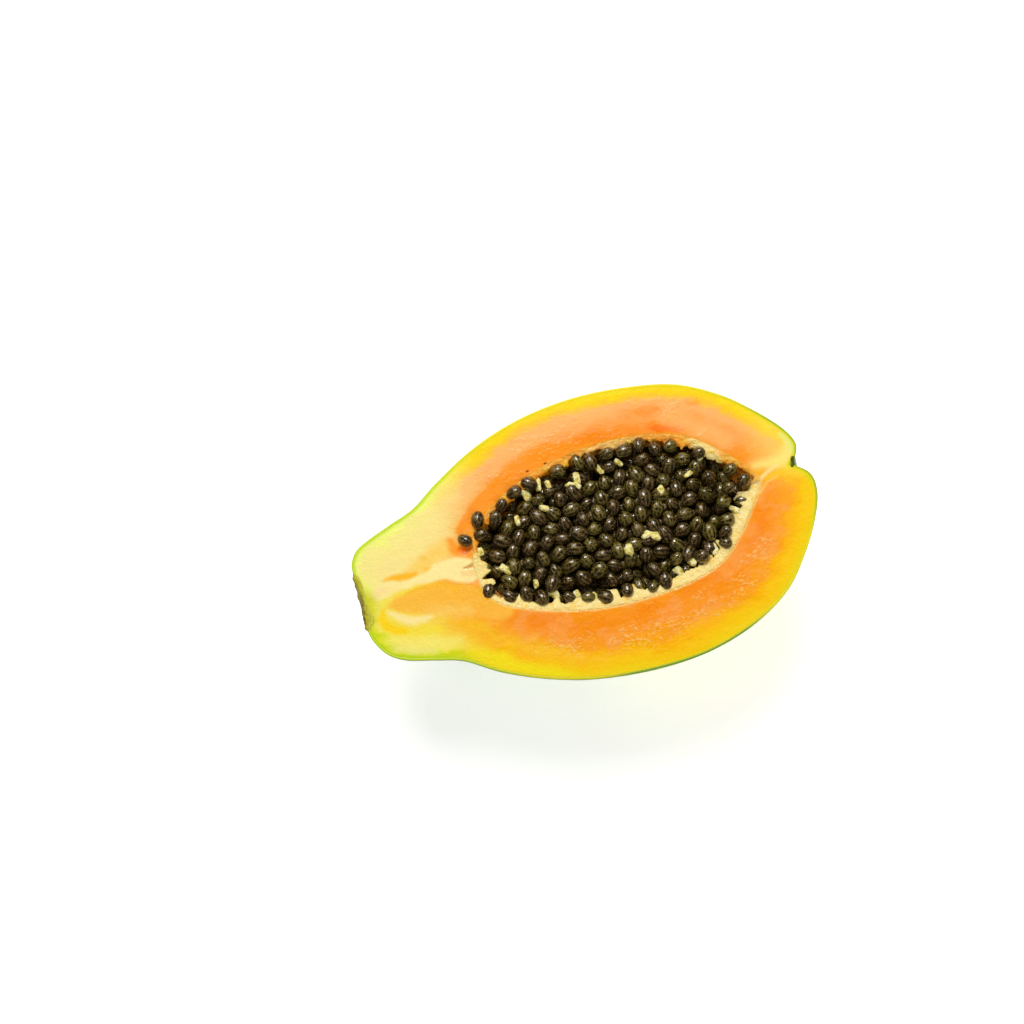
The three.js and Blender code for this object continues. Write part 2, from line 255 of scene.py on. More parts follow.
def makePiece(name, points, faces, material, nodes, masks=None, weld=2e-6):
    # one mesh from arrays: points in the fruit's own millimetres, each mask a number or a vector for each
    points = toFrame(points.reshape(-1, 3))
    mesh = bpy.data.meshes.new(name)
    mesh.vertices.add(len(points))
    mesh.vertices.foreach_set("co", points.ravel())
    mesh.loops.add(faces.size)
    mesh.loops.foreach_set("vertex_index", faces.ravel().astype(np.int32))
    mesh.polygons.add(len(faces))
    mesh.polygons.foreach_set("loop_start", np.arange(0, faces.size, faces.shape[1], dtype=np.int32))
    mesh.update(calc_edges=True)
    for label, values in (masks or {}).items():
        vector = values.ndim > 1 and values.shape[-1] == 3 and values.size == points.size
        kind, field = ("FLOAT_VECTOR", "vector") if vector else ("FLOAT", "value")
        mesh.attributes.new(label, kind, "POINT").data.foreach_set(field, values.astype(np.float32).ravel())
    work = bmesh.new()
    work.from_mesh(mesh)
    if weld:
        bmesh.ops.remove_doubles(work, verts=work.verts, dist=weld)
    bmesh.ops.dissolve_degenerate(work, edges=work.edges, dist=1e-7)
    if work.calc_volume(signed=True) < 0:
        bmesh.ops.reverse_faces(work, faces=work.faces)
    for face in work.faces:
        face.smooth = True
    work.to_mesh(mesh)
    work.free()
    piece = bpy.data.objects.new(name, mesh)
    bpy.context.scene.collection.objects.link(piece)
    mesh.materials.append(material)
    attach(piece, "root")
    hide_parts(*nodes)
    triangles = sum(len(polygon.vertices) - 2 for polygon in mesh.polygons)
    print(f"{name}: {len(mesh.vertices)} points, {triangles} triangles")
    return piece


# Shader helpers
def paint(red, green, blue):
    # a colour as it looks on a screen, 0 to 255, as the shader's linear numbers
    screen = np.array([red, green, blue]) / 255
    linear = np.where(screen <= 0.04045, screen / 12.92, ((screen + 0.055) / 1.055) ** 2.4)
    return (*linear.tolist(), 1.0)


def addNode(tree, kind, settings=None, values=None, links=None):
    # a node with its settings, the values of its sockets and the sockets linked to it
    node = tree.nodes.new(kind)
    for label, value in (settings or {}).items():
        setattr(node, label, value)
    for label, value in (values or {}).items():
        node.inputs[label].default_value = value
    for label, socket in (links or {}).items():
        tree.links.new(socket, node.inputs[label])
    return node


def mathOf(tree, operation, first, second=None, clamp=False):
    # one sum of two numbers or sockets
    node = tree.nodes.new("ShaderNodeMath")
    node.operation = operation
    node.use_clamp = clamp
    for index, value in enumerate((first, second)):
        if isinstance(value, (int, float)):
            node.inputs[index].default_value = value
        elif value is not None:
            tree.links.new(value, node.inputs[index])
    return node.outputs[0]


def times(tree, first, second, clamp=False):
    return mathOf(tree, "MULTIPLY", first, second, clamp)


def plus(tree, first, second, clamp=False):
    return mathOf(tree, "ADD", first, second, clamp)


def minus(tree, first, second):
    return mathOf(tree, "SUBTRACT", first, second)


def spread(tree, value, low, high, toLow=0.0, toHigh=1.0):
    # the range low to high stretched smoothly to toLow to toHigh
    node = addNode(tree, "ShaderNodeMapRange", {"interpolation_type": "SMOOTHSTEP"}, links={"Value": value})
    for label, number in {"From Min": low, "From Max": high, "To Min": toLow, "To Max": toHigh}.items():
        node.inputs[label].default_value = number
    return node.outputs["Result"]


def layer(tree, below, colour, mask, strength=1.0):
    # the colour laid over the one below, as much as the mask times the strength
    node = addNode(tree, "ShaderNodeMix", {"data_type": "RGBA"})
    if strength != 1.0:
        mask = times(tree, mask, strength)
    tree.links.new(mask, node.inputs["Factor"])
    for socket, value in ((node.inputs[6], below), (node.inputs[7], colour)):
        if isinstance(value, tuple):
            socket.default_value = value
        else:
            tree.links.new(value, socket)
    return node.outputs[2]


def ramp(tree, value, stops):
    # a colour ramp of smooth steps: each stop is its place, red, green and blue
    node = addNode(tree, "ShaderNodeValToRGB", links={"Fac": value})
    stripe = node.color_ramp
    stripe.interpolation = "EASE"
    while len(stripe.elements) < len(stops):
        stripe.elements.new(0.5)
    for element, (position, *colour) in zip(stripe.elements, stops):
        element.position = position
        element.color = paint(*colour)
    return node.outputs["Color"]


def maskOf(tree, label, output="Fac"):
    # what the piece's points hold under that label
    node = tree.nodes.new("ShaderNodeAttribute")
    node.attribute_name = label
    return node.outputs[output]


def newGroup(name, inputs, outputs):
    # an empty shader group with its sockets, and its input and output nodes
    group = bpy.data.node_groups.new(name, "ShaderNodeTree")
    for label, (kind, value) in inputs.items():
        socket = group.interface.new_socket(name=label, in_out="INPUT", socket_type=kind)
        if value is not None:
            socket.default_value = value
    for label, kind in outputs.items():
        group.interface.new_socket(name=label, in_out="OUTPUT", socket_type=kind)
    return group, group.nodes.new("NodeGroupInput"), group.nodes.new("NodeGroupOutput")


def makeMottleGroup():
    # soft uneven patches, long along X by the stretch, as a mask from 0 to 1
    group, into, out = newGroup(
        "softMottle",
        {
            "Vector": ("NodeSocketVector", None),
            "Patch Size": ("NodeSocketFloat", 0.01),
            "Stretch": ("NodeSocketFloat", 1.0),
            "Detail": ("NodeSocketFloat", 3.0),
        },
        {"Mask": "NodeSocketFloat"},
    )
    squeeze = addNode(group, "ShaderNodeCombineXYZ", values={"Y": 1.0, "Z": 1.0})
    group.links.new(mathOf(group, "DIVIDE", 1.0, into.outputs["Stretch"]), squeeze.inputs["X"])
    laid = addNode(group, "ShaderNodeVectorMath", {"operation": "MULTIPLY"})
    group.links.new(into.outputs["Vector"], laid.inputs[0])
    group.links.new(squeeze.outputs["Vector"], laid.inputs[1])
    noise = addNode(group, "ShaderNodeTexNoise", values={"Roughness": 0.55})
    group.links.new(laid.outputs["Vector"], noise.inputs["Vector"])
    group.links.new(mathOf(group, "DIVIDE", 1.0, into.outputs["Patch Size"]), noise.inputs["Scale"])
    group.links.new(into.outputs["Detail"], noise.inputs["Detail"])
    group.links.new(spread(group, noise.outputs["Fac"], 0.28, 0.72), out.inputs["Mask"])
    return group


def makeSpeckGroup():
    # round dots of a share of their cells, as a mask, and the distance from their middles as a height
    group, into, out = newGroup(
        "smallSpecks",
        {
            "Vector": ("NodeSocketVector", None),
            "Cell Size": ("NodeSocketFloat", 0.004),
            "Dot Share": ("NodeSocketFloat", 0.2),
        },
        {"Mask": "NodeSocketFloat", "Height": "NodeSocketFloat"},
    )
    cells = addNode(group, "ShaderNodeTexVoronoi", values={"Randomness": 1.0})
    group.links.new(into.outputs["Vector"], cells.inputs["Vector"])
    group.links.new(mathOf(group, "DIVIDE", 1.0, into.outputs["Cell Size"]), cells.inputs["Scale"])
    inside = minus(group, into.outputs["Dot Share"], cells.outputs["Distance"])
    group.links.new(times(group, inside, 12.0, clamp=True), out.inputs["Mask"])
    group.links.new(cells.outputs["Distance"], out.inputs["Height"])
    return group


mottleGroup = makeMottleGroup()
speckGroup = makeSpeckGroup()


def mottle(tree, vector, patch, stretch=1.0, detail=3.0):
    # the group of soft patches, with the patch given in millimetres
    values = {"Patch Size": patch / 1000, "Stretch": stretch, "Detail": detail}
    node = addNode(tree, "ShaderNodeGroup", {"node_tree": mottleGroup}, values, {"Vector": vector})
    return node.outputs["Mask"]


def specks(tree, vector, cell, share):
    # the group of specks, with its mask and its height as outputs
    values = {"Cell Size": cell / 1000, "Dot Share": share}
    return addNode(tree, "ShaderNodeGroup", {"node_tree": speckGroup}, values, {"Vector": vector})


def newMaterial(name, values):
    # a material, its tree and shader, and the object's own coordinates in metres
    material = bpy.data.materials.new(name)
    material.use_nodes = True
    tree = material.node_tree
    shader = tree.nodes["Principled BSDF"]
    for label, value in values.items():
        shader.inputs[label].default_value = value
    return material, tree, shader, tree.nodes.new("ShaderNodeTexCoord").outputs["Object"]


def addBump(tree, shader, height, distance, strength):
    # the height as a bump of that many millimetres on the shader's normal
    bump = addNode(tree, "ShaderNodeBump", values={"Distance": distance / 1000, "Strength": strength})
    tree.links.new(height, bump.inputs["Height"])
    tree.links.new(bump.outputs["Normal"], shader.inputs["Normal"])


# Skin: a thin shell with a rounded rim at the cut, green with yellow patches
skin = {
    "rows": 380,
    "outsideColumns": 130,
    "insideColumns": 16,
    "thickness": 0.9,
    "lumpHeights": (0.22, 0.07, 0.025),
    "lumpSizes": (19.0, 6.0, 2.0),
    "green": paint(112, 146, 12),
    "darkGreen": paint(62, 98, 14),
    "limeGreen": paint(176, 200, 30),
    "yellow": paint(236, 206, 36),
    "freckle": paint(205, 200, 92),
    "scratch": paint(104, 92, 40),
    "edgeGreen": paint(104, 138, 4),
    "dryOlive": paint(104, 106, 24),
    "dryAt": (161.0, 1.3, -1.0),
    "dryRadius": 2.4,
    "evenDepth": 7.0,
    # where the cut edge is yellow instead of green, as along and share, on either side
    "yellowUpper": [(0, 0.0), (40, 0.1), (62, 0.85), (120, 1.0), (150, 0.5), (158, 0.0)],
    "yellowLower": [
        (0, 0.0), (38, 0.1), (58, 0.6), (72, 0.5), (84, 0.0), (126, 0.0), (138, 0.5), (158, 0.7), (164, 0.2),
    ],
    # the same for where it is dark green
    "darkUpper": [(0, 0.0), (138, 0.0), (150, 0.6), (158, 0.65), (163, 0.5)],
    "darkLower": [
        (0, 0.1), (30, 0.3), (48, 0.5), (64, 0.7), (82, 1.0), (126, 1.0), (140, 0.3), (158, 0.2), (165, 0.8),
    ],
    # the rim's section from the outside in, as inset and height
    "rimSection": [(0.0, -0.16), (0.05, -0.05), (0.16, 0.0), (0.45, 0.02), (0.75, 0.0), (0.9, -0.06)],
    # the rim's colours from the outside in, as share of the way, red, green and blue
    "greenRim": [(0, 150, 178, 10), (0.25, 176, 204, 14), (0.6, 200, 220, 20), (1, 220, 222, 30)],
    "yellowRim": [(0, 226, 206, 14), (0.2, 240, 214, 14), (0.5, 248, 218, 10), (1, 248, 212, 0)],
    "darkRim": [(0, 78, 116, 8), (0.4, 104, 146, 12), (0.75, 150, 172, 14), (1, 214, 206, 20)],
}


def skinMaterial():
    material, tree, shader, at = newMaterial("papayaSkin", {
        "Specular IOR Level": 0.32, "Coat Roughness": 0.28, "Subsurface Weight": 0.06,
        "Subsurface Radius": (0.002, 0.0015, 0.0004), "Subsurface Scale": 1.0,
    })
    wide = mottle(tree, at, 34, 2.2, 2.0)
    streaks = mottle(tree, at, 7, 5.0, 4.0)
    colour = layer(tree, skin["green"], skin["darkGreen"], streaks, 0.6)
    colour = layer(tree, colour, skin["limeGreen"], spread(tree, wide, 0.35, 0.95, 0.0, 0.85))
    along = addNode(tree, "ShaderNodeSeparateXYZ", links={"Vector": at}).outputs["X"]
    towardsBlossom = plus(tree, spread(tree, along, -0.02, 0.085), 0.25)
    ripe = times(tree, spread(tree, mottle(tree, at, 46, 1.5, 1.0), 0.45, 0.9), towardsBlossom)
    colour = layer(tree, colour, skin["yellow"], times(tree, ripe, 0.8, clamp=True))
    dots = specks(tree, at, 3.1, 0.1).outputs["Mask"]
    colour = layer(tree, colour, skin["freckle"], dots, 0.5)
    lines = addNode(
        tree, "ShaderNodeTexWave", {"wave_type": "BANDS", "bands_direction": "Y"},
        {"Scale": 34.0, "Distortion": 14.0, "Detail": 3.0, "Detail Scale": 2.2}, {"Vector": at},
    )
    marks = times(tree, spread(tree, lines.outputs["Fac"], 0.985, 1.0), spread(tree, wide, 0.5, 0.2))
    colour = layer(tree, colour, skin["scratch"], marks, 0.55)
    greenRim, yellowRim, darkRim = (
        ramp(tree, maskOf(tree, "rim"), skin[label]) for label in ("greenRim", "yellowRim", "darkRim")
    )
    rimColour = layer(tree, greenRim, darkRim, maskOf(tree, "darkRim"))
    rimColour = layer(tree, rimColour, yellowRim, maskOf(tree, "yellowRim"))
    colour = layer(tree, colour, rimColour, maskOf(tree, "onRim"))
    colour = layer(tree, colour, skin["edgeGreen"], maskOf(tree, "darkSide"), 0.85)
    dry = maskOf(tree, "dry")
    colour = layer(tree, colour, skin["dryOlive"], dry)
    tree.links.new(colour, shader.inputs["Base Color"])
    dull = plus(tree, spread(tree, streaks, 0.0, 1.0, 0.36, 0.5), times(tree, dry, 0.5), clamp=True)
    tree.links.new(dull, shader.inputs["Roughness"])
    tree.links.new(times(tree, minus(tree, 1.0, dry), 0.18), shader.inputs["Coat Weight"])
    fine = mottle(tree, at, 0.9, 1.0, 2.0)
    addBump(tree, shader, plus(tree, times(tree, fine, 0.5), times(tree, dots, 0.8)), 0.06, 0.5)
    return material


def makeSkin():
    # loops round the shell: the outside from edge to edge, the rim, and the inside back again
    share = np.linspace(0, 1, skin["rows"])[:, None]
    outTurn = np.linspace(0.004, math.pi - 0.004, skin["outsideColumns"])[None, :]
    outside = skinSurface(share, outTurn)
    lumps = noiseOfSizes(outside, skin["lumpHeights"], skin["lumpSizes"], 3)
    lumps = lumps * smoothStep(0.0, skin["evenDepth"], -outside[..., 2])
    outside = outside - inwardOf(skinSurface, share, outTurn) * lumps[..., None]
    section = np.array(skin["rimSection"])

    def rimAt(turn):
        # the skin's edge moved in by the section's insets, at the section's heights
        edge = movedIn(skinSurface, share, turn, section[:, 0])
        edge[..., 2] = section[:, 1]
        return edge

    inTurn = np.linspace(math.pi - 0.02, 0.02, skin["insideColumns"])[None, :]
    inside = movedIn(skinSurface, share, inTurn, skin["thickness"])
    points = np.concatenate([outside, rimAt(math.pi), inside, rimAt(0.0)[:, ::-1]], 1)
    across = np.linspace(0, 1, len(section))
    rim = np.concatenate([
        np.zeros(skin["outsideColumns"]), across, np.ones(skin["insideColumns"]), across[::-1],
    ])
    onRim = (np.arange(rim.size) >= skin["outsideColumns"]).astype(float)
    along, height = points[..., 0], points[..., 2]
    upperSide = points[..., 1] > 0
    yellow = bySide(along, upperSide, skin["yellowUpper"], skin["yellowLower"])
    nearCut = np.exp(height / skin["evenDepth"]) * (1 - onRim)
    darkSide = nearCut * ~upperSide * smoothStep(52, 74, along) * smoothStep(162, 140, along)
    onRim = np.maximum(onRim, yellow * smoothStep(-5.0, -0.5, height) * 0.9)
    fromDry = ((points - np.array(skin["dryAt"])) ** 2).sum(-1)
    masks = {
        "rim": np.broadcast_to(rim, points.shape[:2]),
        "onRim": onRim,
        "yellowRim": yellow,
        "darkRim": bySide(along, upperSide, skin["darkUpper"], skin["darkLower"]),
        "darkSide": darkSide,
        "dry": np.exp(-fromDry / skin["dryRadius"]**2) * (1 - onRim),
    }
    faces = gridFaces(points.shape[0], points.shape[1], True)
    makePiece("papayaSkin", points, faces, skinMaterial(), ["peel"], masks)


# Flesh: the wet cut face with its rings of colour, rounded over at the cavity
flesh = {
    "rows": 330,
    "hiddenColumns": 24,
    "faceColumns": 112,
    "wallColumns": 14,
    "inset": 0.84,
    "hiddenDrop": 0.3,
    "deepestDrop": 0.6,
    "cleftDrop": 0.3,
    "speckDrop": 0.3,
    "fadeWidth": 8.0,
    "lipDrop": 0.2,
    "lipReach": 0.4,
    "reliefHeights": (0.12, 0.05, 0.018),
    "reliefSizes": (15.0, 3.4, 1.1),
    # strokes of colour, laid in this order: how soft their edge is, how much it is shaken, the colour,
    # its strength, and the path as along, across and half width
    "washes": {
        "lowGold": (3, 1.4, paint(253, 196, 34), 0.75, [
            (32, -19, 1.6), (38, -22.5, 3), (48, -30.5, 3), (60, -38.5, 2.4), (74, -45, 1.2)]),
        "lowLemon": (2.2, 0.9, paint(246, 224, 12), 0.85, [
            (32, -28.4, 1), (40.3, -34.6, 2.4), (49, -40.8, 2.2), (62, -47.4, 1.4)]),
        "lowPale": (2.2, 0.6, paint(250, 232, 112), 0.75, [
            (5.8, -16.3, 1.1), (10.5, -18.9, 2.1), (16.4, -21.1, 2.5), (23.3, -22.6, 2.1),
            (28.5, -23.5, 1.4)]),
        "lowOlive": (1.6, 0.5, paint(236, 228, 128), 0.7, [
            (6.5, -19.6, 0.9), (12.4, -22.2, 1.1), (19, -24.4, 0.9)]),
        "goldCloud": (2.6, 0.9, paint(253, 204, 84), 0.75, [
            (19.6, 5.1, 1.4), (22.8, 5.9, 2.5), (26.4, 6.6, 3), (30.1, 8, 2.8), (34.5, 9.6, 2.8)]),
        "oliveSpots": (0.9, 0.6, paint(234, 190, 20), 0.6, [(25.3, 8.3, 0.5), (26.4, 8, 0.5)]),
        "goldSpot": (0.9, 0.6, paint(248, 188, 20), 0.7, [(25, 4.8, 0.6), (26.6, 4.3, 0.6)]),
        "deepOrange": (1.3, 0.5, paint(255, 150, 18), 0.92, [
            (36.6, 11.4, 1.2), (37, 8.2, 1.9), (40, 6.3, 1.9), (44, 8, 1.6)]),
        "deepest": (1, 0.4, paint(246, 104, 0), 0.9, [
            (38.7, 7.3, 0.7), (40.6, 6.3, 1.1), (42.4, 6.4, 0.7)]),
        "orangeLobe": (1.3, 0.4, paint(253, 186, 60), 0.92, [
            (9.5, -4.6, 0.7), (12.7, -5, 2.5), (17.6, -5.7, 4), (23, -6.3, 5.1), (28.2, -7.2, 5.2),
            (33.2, -8.8, 5.3), (38.5, -11.6, 5.3), (46, -16.5, 5)]),
        "lobeGold": (0.9, 0.4, paint(250, 184, 14), 0.65, [
            (16, -1.9, 0.4), (21.2, -1.7, 0.4), (26.2, -2.2, 0.4), (31.3, -3.7, 0.7), (32.5, -5.4, 1),
            (35.5, -5.3, 0.7)]),
        "crescentFade": (2, 0.6, paint(254, 204, 96), 0.65, [
            (18.7, -11.6, 1.4), (23.1, -11.5, 2.1), (28.4, -12.4, 2.1), (35.1, -14.6, 1.8)]),
        "curlWeak": (1.6, 0.5, paint(250, 222, 50), 0.75, [
            (11.2, -14.3, 1.4), (15.2, -15.8, 1.2), (20.1, -16.6, 1.1), (24.6, -17.4, 0.5)]),
        "curlStrong": (1.1, 0.4, paint(254, 212, 8), 0.95, [
            (6.8, -5.5, 0.8), (5.6, -8, 1.6), (6.2, -11, 1.9), (8.6, -13.1, 1.8), (11.6, -14.3, 1.1)]),
        "crescent": (0.9, 0.4, paint(254, 229, 150), 0.95, [
            (8.2, -6.4, 0.4), (10.8, -8.5, 1.2), (13.8, -10.9, 1.6), (16.3, -12.3, 1.5),
            (19.1, -12.6, 1.1), (22.2, -12.3, 0.4)]),
        "creamStreak": (0.8, 0.4, paint(254, 233, 156), 0.94, [
            (7.3, 1.3, 2.6), (9.6, 1.3, 2.6), (12.7, 1.8, 1.9), (16.2, 1.4, 1.3), (20.6, 1.3, 1.4),
            (25.4, 1.5, 2), (29.6, 1.9, 2.8), (33.3, 1.8, 3.7), (36.6, 0.8, 4.4), (40.2, -1.1, 4)]),
        "streakPeach": (1.8, 0.6, paint(253, 220, 136), 0.6, [
            (6.5, 1.3, 1.8), (10.5, 1.2, 1.6), (14.5, 1.4, 0.8)]),
        "pinkShade": (0.9, 0.5, paint(250, 196, 122), 0.6, [
            (37.6, -0.9, 0.8), (40.6, -2, 1.2), (42.3, -2.2, 1.1)]),
        # painted shade in the cleft: a darker orange line where the face is sunk
        "cleft": (0.5, 0.3, paint(196, 126, 16), 0.85, [
            (38.3, 0.8, 0.3), (40.6, 0.4, 0.6), (43.6, 0.2, 1.2)]),
        "amberCore": (0.8, 0.3, paint(254, 184, 8), 0.95, [
            (10, 5.1, 0.3), (12.9, 4.8, 0.9), (15.6, 4.2, 1.3), (18.4, 3.8, 1.2), (21.4, 3.9, 0.6)]),
        "upperOrange": (0.8, 1.2, paint(254, 148, 22), 0.9, [
            (41.9, 14.7, 2.2), (48.2, 18.3, 2.9), (54.3, 21.4, 3.3), (61.1, 26.6, 3.7),
            (67.8, 28.7, 4.5), (74.2, 30.1, 4.5), (80.5, 29.8, 4.1), (86.7, 29.1, 3.7),
            (92.8, 28.6, 2.4)]),
        "topOrange": (1.6, 1.2, paint(252, 142, 26), 0.85, [
            (97, 30.2, 0.8), (106, 29.6, 1.2), (114, 28.2, 1.6), (124, 27.4, 2.6), (133, 25.4, 2.6)]),
        "topDeepest": (0.8, 0.9, paint(249, 116, 8), 0.9, [
            (116.5, 28, 0.6), (119, 26.8, 1.4), (123, 26.4, 1.8), (128, 25, 1.2)]),
        "topSpot": (1.4, 0.9, paint(252, 140, 30), 0.6, [(133.2, 32.8, 1), (135.2, 32.4, 1.2)]),
        "topPatch": (1.6, 1.4, paint(252, 140, 30), 0.65, [
            (113, 35.6, 1.2), (117, 34.6, 1.8), (120, 34.8, 1)]),
        "upperPeach": (2.4, 1.4, paint(253, 184, 106), 0.6, [
            (46, 28, 1.2), (60, 33, 2.6), (76, 37.6, 2.8), (92, 39.4, 2.8), (104, 38.4, 2.4)]),
        "rightPeach": (3, 1.0, paint(254, 186, 106), 0.7, [(124, 30, 3), (132, 24, 3.6), (140, 15.5, 3)]),
        "rightGold": (1.2, 0.5, paint(252, 176, 6), 0.85, [
            (137, 8.6, 0.8), (142, 4.8, 1.3), (146, 2.6, 1.3), (149, 1.4, 1.4)]),
        "goldBelow": (1.2, 0.5, paint(250, 204, 22), 0.7, [
            (150, -1.6, 1), (154, -1, 1.2), (157, -1.2, 0.6)]),
        "notchBand": (1.7, 0.4, paint(253, 228, 124), 0.85, [
            (147, 4.4, 0.9), (152, 3.6, 1.5), (157, 3.2, 2.2), (160, 4.6, 2.2), (161.6, 7.4, 1.6)]),
        "tipPale": (1.1, 0.3, paint(226, 234, 124), 0.8, [
            (160.2, 12, 0.8), (162.4, 8.4, 1.4), (162.4, 5.4, 1.2)]),
        "limeTop": (0.9, 0.3, paint(194, 216, 16), 0.85, [
            (162.3, -1.9, 0.4), (164.4, -4.2, 0.9), (165, -7, 0.7)]),
        "creamRays": (0.6, 0.3, paint(254, 226, 140), 0.8, [
            (143, -4.4, 0.5), (147.5, -1.4, 0.5), (151, 0.7, 0.7), (156, 1.8, 0.5)]),
        "creamRayLow": (0.7, 0.3, paint(254, 214, 116), 0.6, [
            (146.5, -5.6, 0.5), (150, -3, 0.4), (154, -1.8, 0.2)]),
        "rightGlow": (2.2, 0.6, paint(253, 200, 6), 0.7, [
            (160.5, -18, 1.2), (163, -12, 1.4), (162.6, -8, 0.8)]),
    },
    # small dark specks, as along, across and size
    "specks": [(70.1, 26.8, 0.55), (77, 27.6, 0.5)],
    # where the cut has torn the flesh to wet grains, whose raised grains get painted highlights
    "grainy": [
        (56, -34.5, 2.4), (65.6, -37.6, 3.4), (85.7, -41.4, 3.6), (101.5, -41.4, 4.2), (115.2, -38.6, 4.6),
        (129.8, -35, 4.6), (136, -29.5, 4.6), (142.5, -22.5, 3.6),
    ],
    # colours from the skin in to the cavity, as share of the way, red, green and blue
    "lowerRings": [
        (0, 244, 206, 0), (0.16, 249, 198, 0), (0.3, 252, 182, 0), (0.44, 251, 162, 22), (0.6, 251, 152, 28),
        (0.8, 250, 144, 18), (1, 251, 150, 20),
    ],
    "upperRings": [
        (0, 248, 218, 0), (0.13, 251, 208, 0), (0.2, 252, 196, 36), (0.34, 251, 178, 98),
        (0.62, 251, 160, 72), (0.84, 250, 144, 30), (1, 249, 140, 12),
    ],
    "neckUpper": [
        (0, 244, 246, 120), (0.1, 248, 232, 136), (0.3, 249, 226, 138), (0.55, 250, 220, 134),
        (0.8, 252, 198, 100), (1, 253, 166, 46),
    ],
    "neckLower": [
        (0, 196, 214, 8), (0.05, 222, 222, 36), (0.12, 243, 228, 92), (0.35, 247, 218, 70),
        (0.6, 250, 204, 40), (0.9, 252, 186, 40),
    ],
    "blush": paint(252, 166, 88),
    "deep": paint(249, 130, 8),
    "blossomGold": paint(252, 218, 88),
    "deepGrain": paint(247, 138, 20),
    # partly painted highlight: the pale colour of the raised wet grains
    "grainHighlight": paint(255, 204, 122),
    "lipLower": paint(254, 206, 110),
    "lipUpper": paint(253, 168, 44),
    "darkSpeck": paint(60, 34, 8),
    "edge": paint(244, 214, 0),
    "neckEdgeLower": paint(190, 214, 0),
    "neckEdgeUpper": paint(206, 236, 60),
    "olive": paint(208, 202, 40),
}


def faceRelief(points):
    # low lumps of the cut face: noises of three sizes that don't change with height
    flat = points * np.array([1.0, 1.0, 0.0])
    return noiseOfSizes(flat, flesh["reliefHeights"], flesh["reliefSizes"], 21)


def fleshMasks(points):
    # numbers from 0 to 1 that say where each of the face's colours lies, with their edges shaken by noise
    fromSkin = nearest(points, outline) - flesh["inset"]
    fromCavity = nearest(points, cavityOutline)
    flat = points * np.array([1.0, 1.0, 0.0])
    zero = np.zeros(flat.shape[:-1])
    wide = np.stack([softNoise(flat, 4.2, 31), softNoise(flat, 4.2, 32), zero], -1)
    close = np.stack([softNoise(flat, 1.5, 33), softNoise(flat, 1.5, 34), zero], -1)
    along, across = points[..., 0], points[..., 1]
    upperSide = smoothStep(-2.0, 5.0, across)
    neckEnd = 32 + 12 * upperSide
    dots = np.max([
        smoothStep(size + 0.25, size - 0.25, np.hypot(flat[..., 0] - x, (flat[..., 1] - y) * 1.5))
        for x, y, size in flesh["specks"]
    ], axis=0)
    fromStalk = along + 0.8 * softNoise(flat, 3.0, 37) + 0.045 * (across + 1.0) ** 2
    masks = {
        "fromSkin": np.clip(fromSkin / flesh["fadeWidth"], 0, 1),
        "fromCavity": np.clip(fromCavity / flesh["fadeWidth"], 0, 1),
        "ripe": fromSkin / np.maximum(fromSkin + fromCavity, 1e-6),
        "neck": 1 - smoothStep(neckEnd - 14, neckEnd + 14, along + 2.5 * softNoise(flat, 9.0, 35)),
        "upperSide": upperSide,
        "blossom": smoothStep(136, 158, along - 0.35 * np.abs(across)) * smoothStep(-9, 6, across),
        "olive": 1 - smoothStep(1.0, 7.5, fromStalk),
        "darkDots": dots,
        "grainy": stroke(flat + wide * 1.6 + close, flesh["grainy"], 2.6),
    }
    for label, (soft, shake, _, strength, path) in flesh["washes"].items():
        masks[label] = strength * stroke(flat + wide * shake + close * shake * 0.45, path, soft)
    return masks


